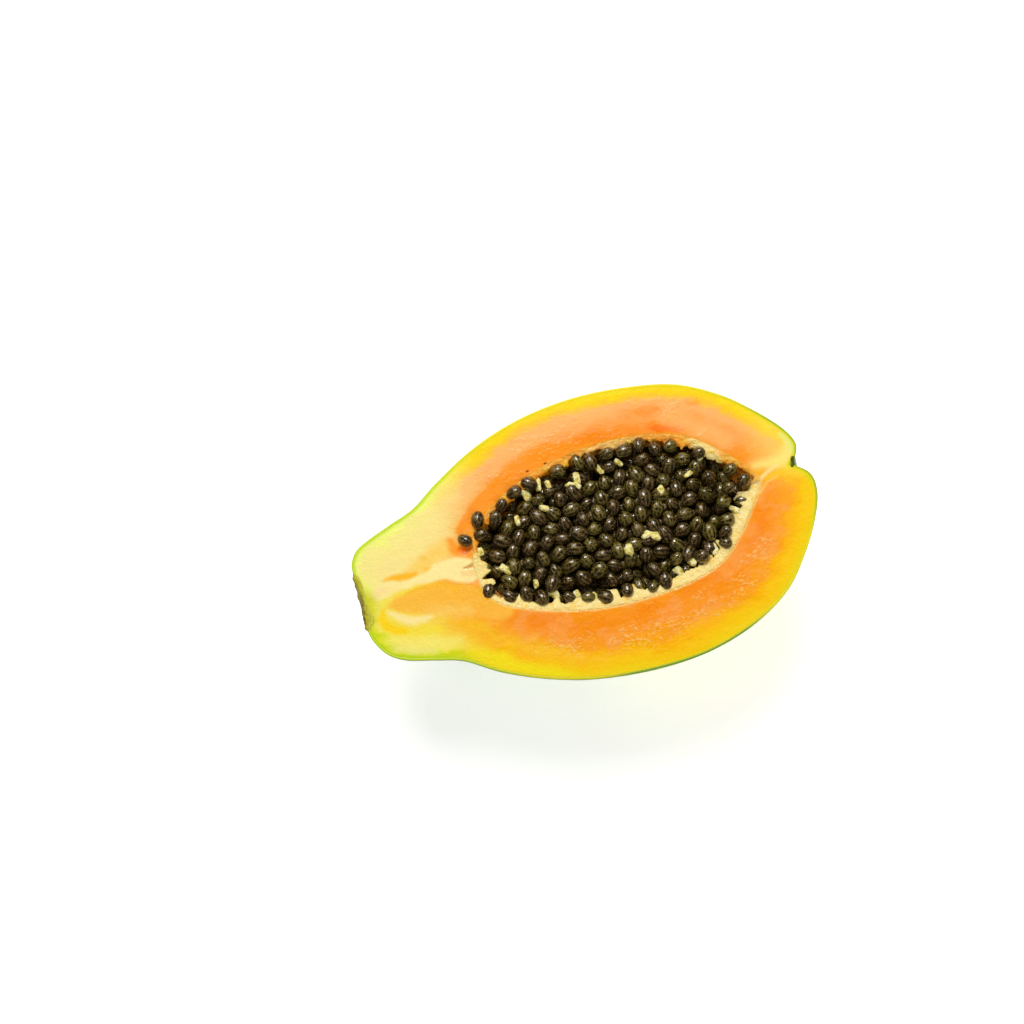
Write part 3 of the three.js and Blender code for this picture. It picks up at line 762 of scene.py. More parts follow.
def fleshMaterial():
    material, tree, shader, at = newMaterial("papayaFlesh", {
        "Coat Weight": 0.3, "Coat Roughness": 0.08, "Coat IOR": 1.3, "Specular IOR Level": 0.15,
        "Subsurface Weight": 0.2, "Subsurface Radius": (0.004, 0.0018, 0.0005), "Subsurface Scale": 1.0,
    })
    fine = mottle(tree, at, 2.6, 1.8, 3.0)
    upperSide, neck = maskOf(tree, "upperSide"), maskOf(tree, "neck")
    wide = minus(tree, mottle(tree, at, 11, 1.6, 3.0), 0.5)
    ripe = plus(tree, maskOf(tree, "ripe"), times(tree, wide, 0.13))
    ripe = plus(tree, ripe, times(tree, minus(tree, fine, 0.5), 0.08), clamp=True)
    lower, upper, neckUpper, neckLower = (
        ramp(tree, ripe, flesh[label]) for label in ("lowerRings", "upperRings", "neckUpper", "neckLower")
    )
    colour = layer(tree, lower, upper, upperSide)
    blotches = spread(tree, mottle(tree, at, 6.5, 1.3, 4.0), 0.45, 0.8)
    colour = layer(tree, colour, flesh["blush"], times(tree, blotches, spread(tree, ripe, 0.25, 0.5)), 0.4)
    deep = spread(tree, mottle(tree, at, 9.5, 1.8, 3.0), 0.5, 0.8)
    colour = layer(tree, colour, flesh["deep"], times(tree, deep, spread(tree, ripe, 0.5, 0.8)), 0.45)
    colour = layer(tree, colour, layer(tree, neckLower, neckUpper, upperSide), neck)
    colour = layer(tree, colour, flesh["blossomGold"], maskOf(tree, "blossom"), 0.55)
    # the washes in order, among them painted shade in the cleft and below it
    for label, (_, _, tone, _, _) in flesh["washes"].items():
        colour = layer(tree, colour, tone, maskOf(tree, label))
    # torn wet grains: deeper orange ones, and pale raised ones whose colour is partly painted highlight
    clusters = spread(tree, mottle(tree, at, 4.2, 1.7, 3.0), 0.2, 0.7)
    clusters = times(tree, clusters, maskOf(tree, "grainy"))
    grains = mottle(tree, at, 0.95, 1.5, 2.0)
    highlitGrains = times(tree, spread(tree, grains, 0.5, 0.85), clusters)
    deepGrains = times(tree, spread(tree, grains, 0.45, 0.1), clusters)
    colour = layer(tree, colour, flesh["deepGrain"], deepGrains, 0.45)
    colour = layer(tree, colour, flesh["grainHighlight"], highlitGrains, 0.5)
    atCavity = minus(tree, 1.0, spread(tree, maskOf(tree, "fromCavity"), 0.0, 0.17))
    atCavity = times(tree, atCavity, spread(tree, fine, 0.0, 0.8, 0.45, 0.9))
    colour = layer(tree, colour, layer(tree, flesh["lipLower"], flesh["lipUpper"], upperSide), atCavity)
    colour = layer(tree, colour, flesh["darkSpeck"], maskOf(tree, "darkDots"))
    edge = minus(tree, 1.0, spread(tree, maskOf(tree, "fromSkin"), 0.0, 0.14))
    neckEdge = layer(tree, flesh["neckEdgeLower"], flesh["neckEdgeUpper"], upperSide)
    colour = layer(tree, colour, layer(tree, flesh["edge"], neckEdge, neck), edge, 0.85)
    colour = layer(tree, colour, flesh["olive"], maskOf(tree, "olive"), 0.9)
    tree.links.new(colour, shader.inputs["Base Color"])
    # wet patches between the fine grain, duller towards the stalk
    wet = spread(tree, mottle(tree, at, 7.5, 2.0, 3.0), 0.35, 0.75)
    wet = times(tree, wet, spread(tree, ripe, 0.15, 0.4))
    wet = times(tree, wet, minus(tree, 1.0, times(tree, neck, 0.8)))
    tree.links.new(minus(tree, 0.44, times(tree, wet, 0.28)), shader.inputs["Roughness"])
    height = plus(tree, times(tree, fine, 0.6), times(tree, mottle(tree, at, 0.7, 1.5, 2.0), 0.35))
    cells = specks(tree, at, 1.5, 0.4).outputs["Height"]
    height = plus(tree, height, times(tree, times(tree, cells, wet), 1.3))
    height = plus(tree, height, times(tree, highlitGrains, 1.2))
    addBump(tree, shader, height, 0.24, 0.45)
    return material


def makeFlesh():
    # loops across the fruit: the hidden side under the skin, the lower face in to the cavity,
    # its wall, and the upper face out again
    share = np.linspace(0, 1, flesh["rows"])[:, None]
    hiddenTurn = np.linspace(0.0, math.pi, flesh["hiddenColumns"])[None, :]
    hidden = movedIn(skinSurface, share, hiddenTurn, flesh["inset"])
    hidden[..., 2] -= flesh["hiddenDrop"]
    t = np.linspace(0, 1, flesh["faceColumns"])
    across = (0.5 * t + 0.5 * (3 * t**2 - 2 * t**3))[None, :, None]

    def faceAt(turn):
        # straight lines from just inside the skin to the cavity's edge, with more points near both ends
        outer = movedIn(skinSurface, share, turn, flesh["inset"])
        inner = cavitySurface(share, turn)
        face = outer + (inner - outer) * across
        face[..., 2] = 0
        return face

    lowerFace, upperFace = faceAt(math.pi), faceAt(0.0)[:, ::-1]
    wallTurn = np.linspace(math.pi - 0.05, 0.05, flesh["wallColumns"])[None, :]
    wall = cavitySurface(share, wallTurn)
    wall[..., 2] -= flesh["lipDrop"]
    points = np.concatenate([hidden, lowerFace, wall, upperFace], 1)
    onFace = np.zeros(points.shape[:2], bool)
    first = flesh["hiddenColumns"]
    onFace[:, first:first + flesh["faceColumns"]] = True
    onFace[:, -flesh["faceColumns"]:] = True
    masks = fleshMasks(points)
    relief = faceRelief(points) * np.minimum(1, masks["fromSkin"] * 4)
    lip = flesh["lipDrop"] * np.exp(-((masks["fromCavity"] * flesh["fadeWidth"] / flesh["lipReach"]) ** 1.4))
    sunk = flesh["deepestDrop"] * masks["deepest"] + flesh["cleftDrop"] * masks["cleft"]
    sunk = sunk + flesh["speckDrop"] * masks["darkDots"]
    points[..., 2] = np.where(onFace, relief - lip - sunk - 0.02, points[..., 2])
    faces = gridFaces(points.shape[0], points.shape[1], True)
    makePiece("papayaFlesh", points, faces, fleshMaterial(), ["flesh"], masks)


# Lining: the pale, ragged wall of the cavity, with teeth between the seeds
lining = {
    "rows": 640,
    "backColumns": 8,
    "rimColumns": 16,
    "wallColumns": 40,
    "thickness": 1.2,
    # how far in the rim reaches, as along and millimetres
    "lowerReach": [
        (36, 0.9), (44, 1.6), (56, 2.5), (80, 2.7), (100, 2.9), (112, 4.2), (124, 3.4), (136, 4.6),
        (149, 2.6),
    ],
    "upperReach": [
        (36, 0.8), (46, 1.2), (60, 1.7), (84, 1.9), (104, 2.0), (122, 1.9), (129, 3.2), (136, 2.6),
        (142, 1.5), (149, 1.2),
    ],
    "lowerTeeth": 3.3,
    "upperTeeth": 1.5,
    "toothSpacing": 2.7,
    "rimStart": -0.35,
    "wallFade": 3.6,
    "backInset": -0.4,
    "backDrop": 0.9,
    "cream": paint(255, 215, 120),
    "paleCream": paint(255, 229, 152),
    "gold": paint(253, 196, 50),
    "orange": paint(255, 152, 6),
    "amber": paint(222, 124, 4),
    # painted shade: the amber that the lining turns deeper down in the bowl
    "edgeLower": paint(254, 208, 112),
    "edgeUpper": paint(253, 170, 44),
}


def liningMaterial():
    material, tree, shader, at = newMaterial("papayaLining", {
        "Roughness": 0.5, "Coat Weight": 0.2, "Coat Roughness": 0.2, "Subsurface Weight": 0.3,
        "Subsurface Radius": (0.003, 0.002, 0.0008), "Subsurface Scale": 1.0,
    })
    fibres = mottle(tree, at, 1.0, 1.0, 4.0)
    patches = mottle(tree, at, 3.6, 1.3, 3.0)
    colour = layer(tree, lining["cream"], lining["paleCream"], fibres)
    colour = layer(tree, colour, lining["gold"], spread(tree, patches, 0.55, 0.95), 0.7)
    warm = maskOf(tree, "warm")
    warmColour = layer(tree, lining["gold"], lining["orange"], spread(tree, patches, 0.0, 0.5))
    colour = layer(tree, colour, warmColour, warm)
    atEdge = times(tree, maskOf(tree, "atEdge"), spread(tree, fibres, 0.0, 0.6, 0.55, 1.0))
    colour = layer(tree, colour, layer(tree, lining["edgeLower"], lining["edgeUpper"], warm), atEdge)
    # painted shade: amber deeper down in the bowl, where the lining lies in shade
    colour = layer(tree, colour, lining["amber"], maskOf(tree, "below"), 0.8)
    tree.links.new(colour, shader.inputs["Base Color"])
    addBump(tree, shader, fibres, 0.4, 0.6)
    return material


def makeLining():
    # loops across the bowl: its hidden back, the rim of one side, the inner wall, and the rim of the other;
    # the rim slopes down inwards and ends in blunt teeth, under which the wall falls back to its plain inset
    share = np.linspace(0, 1, lining["rows"])[:, None]
    t = np.linspace(0, 1, lining["rimColumns"])[None, :]

    def reachAt(turn, reach, teeth, start):
        # the table's reach, plus teeth where a soft noise is high and a fine ragged noise, less at both ends
        edge = cavitySurface(share, turn)
        width = np.interp(edge[..., 0], *np.transpose(reach))
        bumps = smoothStep(-0.05, 0.5, softNoise(edge, lining["toothSpacing"], start))
        rag = softNoise(edge, 1.05, start + 1) + 0.5 * softNoise(edge, 0.5, start + 2)
        fade = smoothStep(0.0, 0.05, share) * smoothStep(1.0, 0.96, share)
        return np.maximum(0.3, width + (teeth * bumps + 0.5 * rag) * fade)

    lowerReach = reachAt(math.pi, lining["lowerReach"], lining["lowerTeeth"], 51)
    upperReach = reachAt(0.0, lining["upperReach"], lining["upperTeeth"], 61)

    def rimHeight(inset):
        # down from the cut face by a share of the inset and of its square
        return -0.08 - 0.12 * np.maximum(inset, 0) - 0.012 * np.maximum(inset, 0)**2

    def rimAt(turn, reach):
        # from under the flesh's lip to the reach, at the rim's height with relief, roughness and a last drop
        inset = lining["rimStart"] + (reach - lining["rimStart"]) * t
        edge = movedIn(cavitySurface, share, turn, inset)
        rough = 0.2 * softNoise(edge, 1.5, 54) + 0.13 * softNoise(edge, 0.75, 55)
        edge[..., 2] = rimHeight(inset) + faceRelief(edge) * (1 - t) + rough * np.minimum(1, t * 5)
        edge[..., 2] -= 0.05 * (1 - np.minimum(1, t * 7)) + 0.5 * t**6
        return edge

    lowerRim, upperRim = rimAt(math.pi, lowerReach), rimAt(0.0, upperReach)
    wallTurn = np.linspace(math.pi - 0.02, 0.02, lining["wallColumns"])[None, :]
    plain = cavitySurface(share, wallTurn)
    below = -plain[..., 2]
    side = smoothStep(-0.25, 0.25, np.cos(wallTurn))
    reach = lowerReach * (1 - side) + upperReach * side
    fade = np.exp(-((below / lining["wallFade"]) ** 2))
    inset = lining["thickness"] + (reach - lining["thickness"]) * fade
    inset = inset + 0.4 * softNoise(plain, 2.2, 56) * smoothStep(0.0, 2.0, below)
    wall = movedIn(cavitySurface, share, wallTurn, inset)
    wall[..., 2] += (rimHeight(reach) - 1.0) * np.exp(-below / 2.0)
    backTurn = np.linspace(0.03, math.pi - 0.03, lining["backColumns"])[None, :]
    back = movedIn(cavitySurface, share, backTurn, lining["backInset"])
    back[..., 2] -= lining["backDrop"]
    points = np.concatenate([back, lowerRim, wall, upperRim[:, ::-1]], 1)
    along, across = points[..., 0], points[..., 1]
    centreLine = np.interp(along, (36, 60, 130, 149), (5, 0.5, 0.5, -1.5))
    above = smoothStep(-2.0, 3.0, across - centreLine)
    shaken = along + 3.0 * softNoise(points, 6.0, 57)
    paleCorner = smoothStep(125, 129, shaken) * smoothStep(140, 135, shaken)
    paleStretch = 0.45 * smoothStep(90, 96, shaken) * smoothStep(112, 104, shaken)
    warm = above * 0.95 * (1 - np.maximum(paleCorner, paleStretch))
    warm = np.maximum(warm, 0.9 * smoothStep(50, 45, shaken) * above)
    atEdge = smoothStep(1.0, 0.1, nearest(points, cavityOutline)) * (points[..., 2] > -1.2)
    masks = {
        "atEdge": atEdge * smoothStep(44.5, 47.5, along + 0.4 * across),
        # painted shade: how far down the bowl the amber shade is laid
        "below": smoothStep(1.6, 6.0, -points[..., 2]),
        "warm": np.clip(warm, 0, 1),
    }
    faces = gridFaces(points.shape[0], points.shape[1], True)
    makePiece("placentaLining", points, faces, liningMaterial(), ["placenta_lining"], masks)


# Seeds: the heap's upper layer lies where the solids have it, with more seeds under it in the gaps
seeds = {
    "length": 6.6,
    "width": 5.2,
    "spacing": 5.9,
    "crown": -0.6,
    "rim": -3.6,
    "liningThickness": 1.5,
    "roomAbove": 2.3,
    "roomBelow": 3.4,
    "randomStart": 20611,
    "shift": 0.7,
    "spill": 2.6,
    "lift": 2.2,
    "tilt": 1.1,
    "uprightShare": 0.2,
    "uprightTilt": 1.0,
    "smallest": 0.88,
    "sizeRange": 0.22,
    "push": 0.25,
    "rounds": 30,
    "columns": 10,
    "rings": 6,
    "lowerSpacing": 5.6,
    "lowerDrop": 4.0,
    "lowerLift": 0.6,
    "lowerColumns": 8,
    "ridgeHeight": 0.05,
    "fullness": 0.14,
    "tipLength": 0.035,
    "sizeShake": 0.08,
    "lumpHeight": 0.05,
    "lumpSize": 2.4,
    "stripSteps": 161,
    "sunkShare": 0.2,
    "sunkBy": 2.0,
    "raisedShare": 0.16,
    "raisedBy": 0.9,
    "keepApart": 4.3,
    "overTilt": 1.5,
    "overSmallest": 0.8,
    # seeds that lie over the cavity's edge, as along, across and height
    "overEdge": [
        (41.4, 9.9, 0.4), (47.9, 15.4, 0.3), (47.2, 10.2, -1.0), (57.5, 17.9, -0.3), (63.1, 20.9, 0.2),
        (69.2, 22.4, 0.3), (80.2, 23.5, 0.2), (87.9, 24.6, 0.6), (92.4, 23.3, 0.0), (98.6, 24.2, 0.8),
        (104.8, 23.4, 0.5), (110.8, 23.8, 0.3), (115.6, 20.9, 0.9), (121.2, 20.0, 0.6), (129.9, 14.4, 0.8),
        (138.7, 5.2, 0.9), (142.0, 0.0, 0.4), (136.0, -0.6, 0.6), (133.0, -4.8, 0.2), (132.0, -11.2, -0.4),
        (130.2, -15.2, -0.5), (129.0, -18.8, -0.9), (119.2, -21.0, -0.8), (110.4, -19.2, -0.3),
        (102.0, -20.1, -0.1), (104.6, -25.4, -1.0), (99.8, -26.0, -1.2), (90.7, -24.4, -1.0),
        (82.4, -24.2, -1.2), (76.7, -22.5, -1.3), (70.5, -20.5, -1.3), (61.2, -17.5, -1.3),
        (56.4, -14.9, -1.2), (50.2, -13.7, -1.2), (43.9, -9.8, -1.0),
    ],
    "dark": paint(26, 15, 3),
    # partly painted highlight: the ridge and line colours lighten the raised ridges and their crests
    "ridge": paint(84, 64, 24),
    "olive": paint(108, 98, 30),
    "line": paint(156, 132, 74),
}


def randomFrom(start):
    # the same multiplicative rule of random numbers as the solids use, from 0 to 1
    state = start
    while True:
        state = state * 48271 % 2147483647
        yield state / 2147483647


def bedStrips():
    # for each millimetre along the cavity, how far across it the seeds' centres may lie
    shares = np.linspace(0, 1, seeds["stripSteps"])
    upper = movedIn(cavitySurface, shares, 0.0, seeds["liningThickness"])
    lower = movedIn(cavitySurface, shares, math.pi, seeds["liningThickness"])
    along = np.arange(math.ceil(fruit["cavityUpperEdge"][-1][0]) + 1)
    high = np.interp(along, upper[:, 0], upper[:, 1], left=np.nan, right=np.nan) - seeds["roomAbove"]
    low = np.interp(along, lower[:, 0], lower[:, 1], left=np.nan, right=np.nan) + seeds["roomBelow"]
    free = np.flatnonzero(high - low > 0)
    return along[free], low[free], high[free]


def bedHeight(along, across, strips):
    # highest along the heap's middle, lower by a square towards its sides and a fourth power to its ends
    places, low, high = strips
    low, high = np.interp(along, places, low), np.interp(along, places, high)
    sideways = (2 * across - low - high) / (high - low + 2)
    endways = (2 * along - places[0] - places[-1]) / (places[-1] - places[0])
    return seeds["rim"] + (seeds["crown"] - seeds["rim"]) * (1 - sideways**2) * (1 - endways**4)


def seedPlaces(start, spacing, strips):
    # a staggered grid with random shifts, then rounds in which near seeds push each other apart
    draw = randomFrom(start)
    places, low, high = strips
    first, last = places[0], places[-1] - 0.001
    found = []
    rowStep = spacing * math.sqrt(3) / 2
    for row in range(-6, 7):
        column = 0
        while first + column * spacing < last + spacing:
            half = 0 if row % 2 == 0 else 0.5
            along = first + (column + half + seeds["shift"] * (next(draw) - 0.5)) * spacing
            across = row * rowStep + seeds["shift"] * (next(draw) - 0.5) * spacing
            lift = seeds["lift"] * (next(draw) - 0.5)
            heading = math.pi * next(draw)
            tilt = seeds["tilt"] * (next(draw) - 0.5)
            tilt += seeds["uprightTilt"] if next(draw) < seeds["uprightShare"] else 0
            size = seeds["smallest"] + seeds["sizeRange"] * next(draw)
            column += 1
            if along < first - 1 or along > last + 1:
                continue
            strip = np.clip(along, first, last)
            lowest = np.interp(strip, places, low) - seeds["spill"]
            highest = np.interp(strip, places, high) + seeds["spill"]
            if lowest < across < highest:
                found.append((along, across, lift, heading, tilt, size))
    found = np.array(found)
    for _ in range(seeds["rounds"]):
        apart = found[:, None, :2] - found[None, :, :2]
        distance = np.hypot(apart[..., 0], apart[..., 1])
        near = (distance < spacing) & (distance > 0)
        push = np.where(near, seeds["push"] * (spacing - distance) / np.where(near, distance, 1), 0)
        found[:, :2] += (apart * push[..., None]).sum(1)
        found[:, 0] = np.clip(found[:, 0], first, last)
        lowest = np.interp(found[:, 0], places, low)
        highest = np.interp(found[:, 0], places, high)
        found[:, 1] = np.clip(found[:, 1], lowest, highest)
    return found


def heapPlaces(strips):
    # the heap's seeds, some sunk and some raised, less those too near to the listed ones over the edge
    found = seedPlaces(seeds["randomStart"], seeds["spacing"], strips)
    heights = bedHeight(found[:, 0], found[:, 1], strips) + found[:, 2]
    draw = np.random.default_rng(5)
    chance = draw.random(len(found))
    heights -= seeds["sunkBy"] * (chance < seeds["sunkShare"])
    heights += seeds["raisedBy"] * (chance > 1 - seeds["raisedShare"])
    over = np.array(seeds["overEdge"])
    apart = np.hypot(*(found[:, None, :2] - over[None, :, :2]).transpose(2, 0, 1)).min(1)
    kept = apart > seeds["keepApart"]
    extra = np.zeros((len(over), 6))
    extra[:, :2] = over[:, :2]
    extra[:, 3] = draw.random(len(over)) * math.pi
    extra[:, 4] = seeds["overTilt"] * (draw.random(len(over)) - 0.5)
    extra[:, 5] = seeds["overSmallest"] + seeds["sizeRange"] * draw.random(len(over))
    return np.concatenate([found[kept], extra]), np.concatenate([heights[kept], over[:, 2]])


def seedShape(columns, rings):
    # an egg about Y: the radius is the sine of the polar angle, fuller at one end, with ridges round it
    polar = np.linspace(0, math.pi, rings + 1)[:, None]
    around = np.linspace(0, 2 * math.pi, columns, endpoint=False)[None, :]
    fuller = 1 + seeds["fullness"] * np.cos(polar)
    ridge = 1 + seeds["ridgeHeight"] * np.cos(around * columns / 2) * np.sin(polar) ** 0.5
    radius = 0.5 * np.sin(polar) ** 0.92 * fuller * ridge
    tip = 0.5 + seeds["tipLength"] * np.cos(polar) ** 9
    shape = [radius * np.cos(around), -np.cos(polar) * tip + 0 * around, radius * np.sin(around)]
    return np.stack(shape, -1)


def placedSeeds(found, heights, columns, rings, start):
    # every seed at once: the shape scaled, spun about its length, tilted about X, turned about Z and placed
    shape = seedShape(columns, rings)
    count = len(found)
    size = found[:, 5][:, None] * np.array([seeds["width"], seeds["length"], seeds["width"]])
    draw = np.random.default_rng(start)
    size = size * (1 + seeds["sizeShake"] * (draw.random((count, 3)) - 0.5))
    spin = draw.random(count) * 2 * math.pi
    body = shape[None] * size[:, None, None, :]
    apart = 40.0 * np.arange(count)[:, None, None, None]
    lumps = 1 + seeds["lumpHeight"] * softNoise(body + apart, seeds["lumpSize"], 61)
    body = turned(body * lumps[..., None], spin, 2, 0)
    body = turned(body, found[:, 4], 1, 2)
    body = turned(body, found[:, 3], 0, 1)
    body += np.column_stack([found[:, :2], heights])[:, None, None, :]
    masks = {
        "own": np.broadcast_to(shape[None], body.shape),
        "tint": np.broadcast_to(draw.random(count)[:, None, None], body.shape[:3]),
    }
    return body, bodyFaces(count, rings + 1, columns), masks


def seedMaterial():
    material, tree, shader, at = newMaterial("papayaSeed", {
        "IOR": 1.6, "Specular IOR Level": 0.5, "Specular Tint": (1.0, 0.76, 0.4, 1.0),
        "Coat Roughness": 0.06, "Coat IOR": 1.7,
    })
    parts = addNode(tree, "ShaderNodeSeparateXYZ", links={"Vector": maskOf(tree, "own", "Vector")})
    angle = mathOf(tree, "ARCTAN2", parts.outputs["Z"], parts.outputs["X"])
    shake = addNode(
        tree, "ShaderNodeTexNoise", None, {"Scale": 900.0, "Detail": 3.0, "Roughness": 0.6}, {"Vector": at},
    ).outputs["Fac"]
    # ridges along the seed: the sine of nine times the angle round it, bent by the noise
    ridges = mathOf(tree, "SINE", plus(tree, times(tree, angle, 9.0), times(tree, shake, 7.0)))
    ridges = plus(tree, times(tree, ridges, 0.5), 0.5)
    bumps = mottle(tree, at, 1.2, 1.0, 2.5)
    height = plus(tree, times(tree, ridges, 0.5), times(tree, bumps, 0.85))
    # lighter over the raised ridges and bumps, with pale lines on the crests: the coat's own ridges, partly
    # painted highlight along them
    colour = layer(tree, seeds["dark"], seeds["ridge"], spread(tree, height, 0.35, 1.1))
    olive = times(tree, spread(tree, maskOf(tree, "tint"), 0.3, 0.95), 0.85)
    colour = layer(tree, colour, seeds["olive"], times(tree, olive, spread(tree, height, 0.2, 1.1)))
    lines = times(tree, spread(tree, ridges, 0.8, 1.0), spread(tree, shake, 0.45, 0.6))
    colour = layer(tree, colour, seeds["line"], lines, 0.35)
    tree.links.new(colour, shader.inputs["Base Color"])
    tree.links.new(spread(tree, bumps, 0.0, 1.0, 0.14, 0.38), shader.inputs["Roughness"])
    jelly = plus(tree, times(tree, ridges, 0.45), times(tree, bumps, 0.45))
    tree.links.new(spread(tree, jelly, 0.15, 0.7, 0.2, 1.0), shader.inputs["Coat Weight"])
    addBump(tree, shader, height, 0.3, 0.75)
    return material


def gapShadeMaterial():
    material, tree, shader, at = newMaterial("shadeUnderSeeds", {"Roughness": 0.4, "Specular IOR Level": 0.2})
    patches = mottle(tree, at, 2.4, 1.0, 4.0)
    # painted shade: near-black browns for the dark in the gaps between the seeds
    tree.links.new(ramp(tree, patches, gapShade["colours"]), shader.inputs["Base Color"])
    addBump(tree, shader, patches, 0.8, 0.8)
    return material


def makeSeeds():
    strips = bedStrips()
    found, heights = heapPlaces(strips)
    material = seedMaterial()
    body, faces, masks = placedSeeds(found, heights, seeds["columns"], seeds["rings"], 7)
    makePiece("topSeeds", body, faces, material, ["seeds"], masks)
    under = seedPlaces(seeds["randomStart"] + 11, seeds["lowerSpacing"], strips)
    heights = bedHeight(under[:, 0], under[:, 1], strips) + under[:, 2] * seeds["lowerLift"]
    heights = heights - seeds["lowerDrop"]
    body, faces, masks = placedSeeds(under, heights, seeds["lowerColumns"], seeds["rings"], 8)
    makePiece("lowerSeeds", body, faces, material, ["seeds"], masks)
    return strips


# Gap shade: a dark sheet under the seeds, painted shade that shows in the gaps between them
gapShade = {
    "rows": 90,
    "columns": 40,
    "wallColumns": 16,
    "upperInset": 3.4,
    "lowerInset": 6.0,
    "wallInset": 1.6,
    "firstShare": 0.06,
    "lastShare": 0.96,
    "underBed": 5.2,
    "lumpHeight": 0.9,
    "lumpSize": 3.2,
    "wallTop": -7.0,
    "colours": [(0, 14, 8, 2), (0.6, 38, 22, 5), (1, 92, 58, 12)],
}


def makeGapShade(strips):
    # a dark sheet of painted shade that follows the bed a few millimetres down, closed by the cavity's wall
    # below
    share = np.linspace(gapShade["firstShare"], gapShade["lastShare"], gapShade["rows"])[:, None]
    sideways = np.linspace(-1, 1, gapShade["columns"])[None, :, None]
    upper = movedIn(cavitySurface, share, 0.0, gapShade["upperInset"])
    lower = movedIn(cavitySurface, share, math.pi, gapShade["lowerInset"])
    top = (upper + lower) / 2 + (upper - lower) / 2 * sideways
    height = bedHeight(top[..., 0], top[..., 1], strips)
    height = np.clip(height, seeds["rim"] - 2.5, seeds["crown"]) - gapShade["underBed"]
    top[..., 2] = height + gapShade["lumpHeight"] * softNoise(top, gapShade["lumpSize"], 71)
    wallTurn = np.linspace(0.12, math.pi - 0.12, gapShade["wallColumns"])[None, :]
    wall = movedIn(cavitySurface, share, wallTurn, gapShade["wallInset"])
    wall[..., 2] = np.minimum(wall[..., 2], gapShade["wallTop"])
    points = np.concatenate([top, wall], 1)
    ends = points[[0, -1]]
    ends = np.broadcast_to(ends.mean(1, keepdims=True), ends.shape)
    points = np.concatenate([ends[:1], points, ends[1:]], 0)
    faces = gridFaces(points.shape[0], points.shape[1], True)
    makePiece("shadeUnderSeeds", points, faces, gapShadeMaterial(), ["seeds"])


# Pale flecks: bits of seed stalk left lying among the seeds, as along, across,
# length, width and turn
flecks = {
    "places": [
        (95.5, -10.9, 4.5, 3.4, -1.9), (104.7, -8.8, 6.2, 3.4, -0.4), (51.8, -4.0, 5.2, 2.8, -0.7),
        (85.9, 18.8, 4.8, 2.4, -1.7), (84.0, 16.9, 5.4, 2.8, -0.7), (94.5, 19.8, 4.2, 2.0, -1.2),
        (67.3, 19.0, 4.2, 3.0, -1.4), (72.4, 21.2, 4.6, 1.9, -1.8), (75.6, 20.2, 3.2, 1.9, -1.4),
        (61.3, 11.1, 3.9, 2.2, -1.5), (71.8, 12.3, 3.6, 1.8, -0.5), (60.7, -12.3, 3.8, 1.9, -1.7),
        (65.5, -17.3, 4.6, 2.8, -0.8), (73.5, -20.5, 3.6, 2.2, -1.5), (79.2, -23.1, 4.0, 2.2, -1.4),
        (115.0, -20.8, 4.8, 2.8, -1.0), (110.4, -23.3, 4.6, 2.6, -1.0), (124.5, -19.8, 4.2, 2.8, -1.4),
        (121.4, -21.3, 3.4, 2.2, -0.7), (105.8, -25.9, 3.4, 2.0, -1.5), (113.0, 5.7, 3.2, 2.4, -1.4),
        (130.0, 12.5, 5.0, 1.8, 0.6), (124.2, 8.4, 3.4, 1.6, 0.2), (136.2, -8.8, 4.8, 2.2, -0.7),
        (136.4, -15.2, 4.6, 2.4, 0.0), (102.1, 19.8, 3.2, 1.8, -1.0), (94.5, -28.5, 3.0, 2.0, -0.7),
        (45.2, 4.2, 4.2, 2.6, -1.4),
    ],
    "rings": 12,
    "columns": 18,
    "boxy": 0.7,
    "wobble": 0.42,
    "wobbleSize": 1.4,
    "overBed": 1.5,
    "colours": [(0, 186, 160, 44), (0.4, 232, 212, 116), (1, 254, 244, 190)],
}


def fleckMaterial():
    material, tree, shader, at = newMaterial("paleFleck", {
        "Roughness": 0.38, "Coat Weight": 0.3, "Coat Roughness": 0.15, "Subsurface Weight": 0.35,
        "Subsurface Radius": (0.0025, 0.0018, 0.0007), "Subsurface Scale": 1.0,
    })
    patches = mottle(tree, at, 1.4, 1.0, 3.0)
    tree.links.new(ramp(tree, patches, flecks["colours"]), shader.inputs["Base Color"])
    addBump(tree, shader, patches, 0.4, 0.7)
    return material


def makeFlecks(strips):
    # flattened lumps: each a ball whose radius is pulled towards a box and shaken by noise
    rings, columns = flecks["rings"], flecks["columns"]
    along, across, length, width, heading = np.transpose(flecks["places"])
    count = len(along)
    polar = np.linspace(0, math.pi, rings + 1)[:, None]
    around = np.linspace(0, 2 * math.pi, columns, endpoint=False)[None, :]
    ball = [np.sin(polar) * np.cos(around), np.sin(polar) * np.sin(around), np.cos(polar) + 0 * around]
    ball = np.stack(ball, -1)
    box = ball / (np.abs(ball) ** 4).sum(-1, keepdims=True) ** 0.25
    shape = (1 - flecks["boxy"]) * ball + flecks["boxy"] * box
    size = np.stack([length, width, width * 0.9], -1) / 2
    body = shape[None] * size[:, None, None, :]
    apart = 30.0 * np.arange(count)[:, None, None, None]
    wobble = 1 + flecks["wobble"] * softNoise(body + apart, flecks["wobbleSize"], 81)
    body = turned(body * wobble[..., None], heading, 0, 1)
    height = bedHeight(along, across, strips) + flecks["overBed"]
    body += np.stack([along, across, height], -1)[:, None, None, :]
    faces = bodyFaces(count, rings + 1, columns)
    makePiece("paleFlecks", body, faces, fleckMaterial(), ["placenta_lining"])


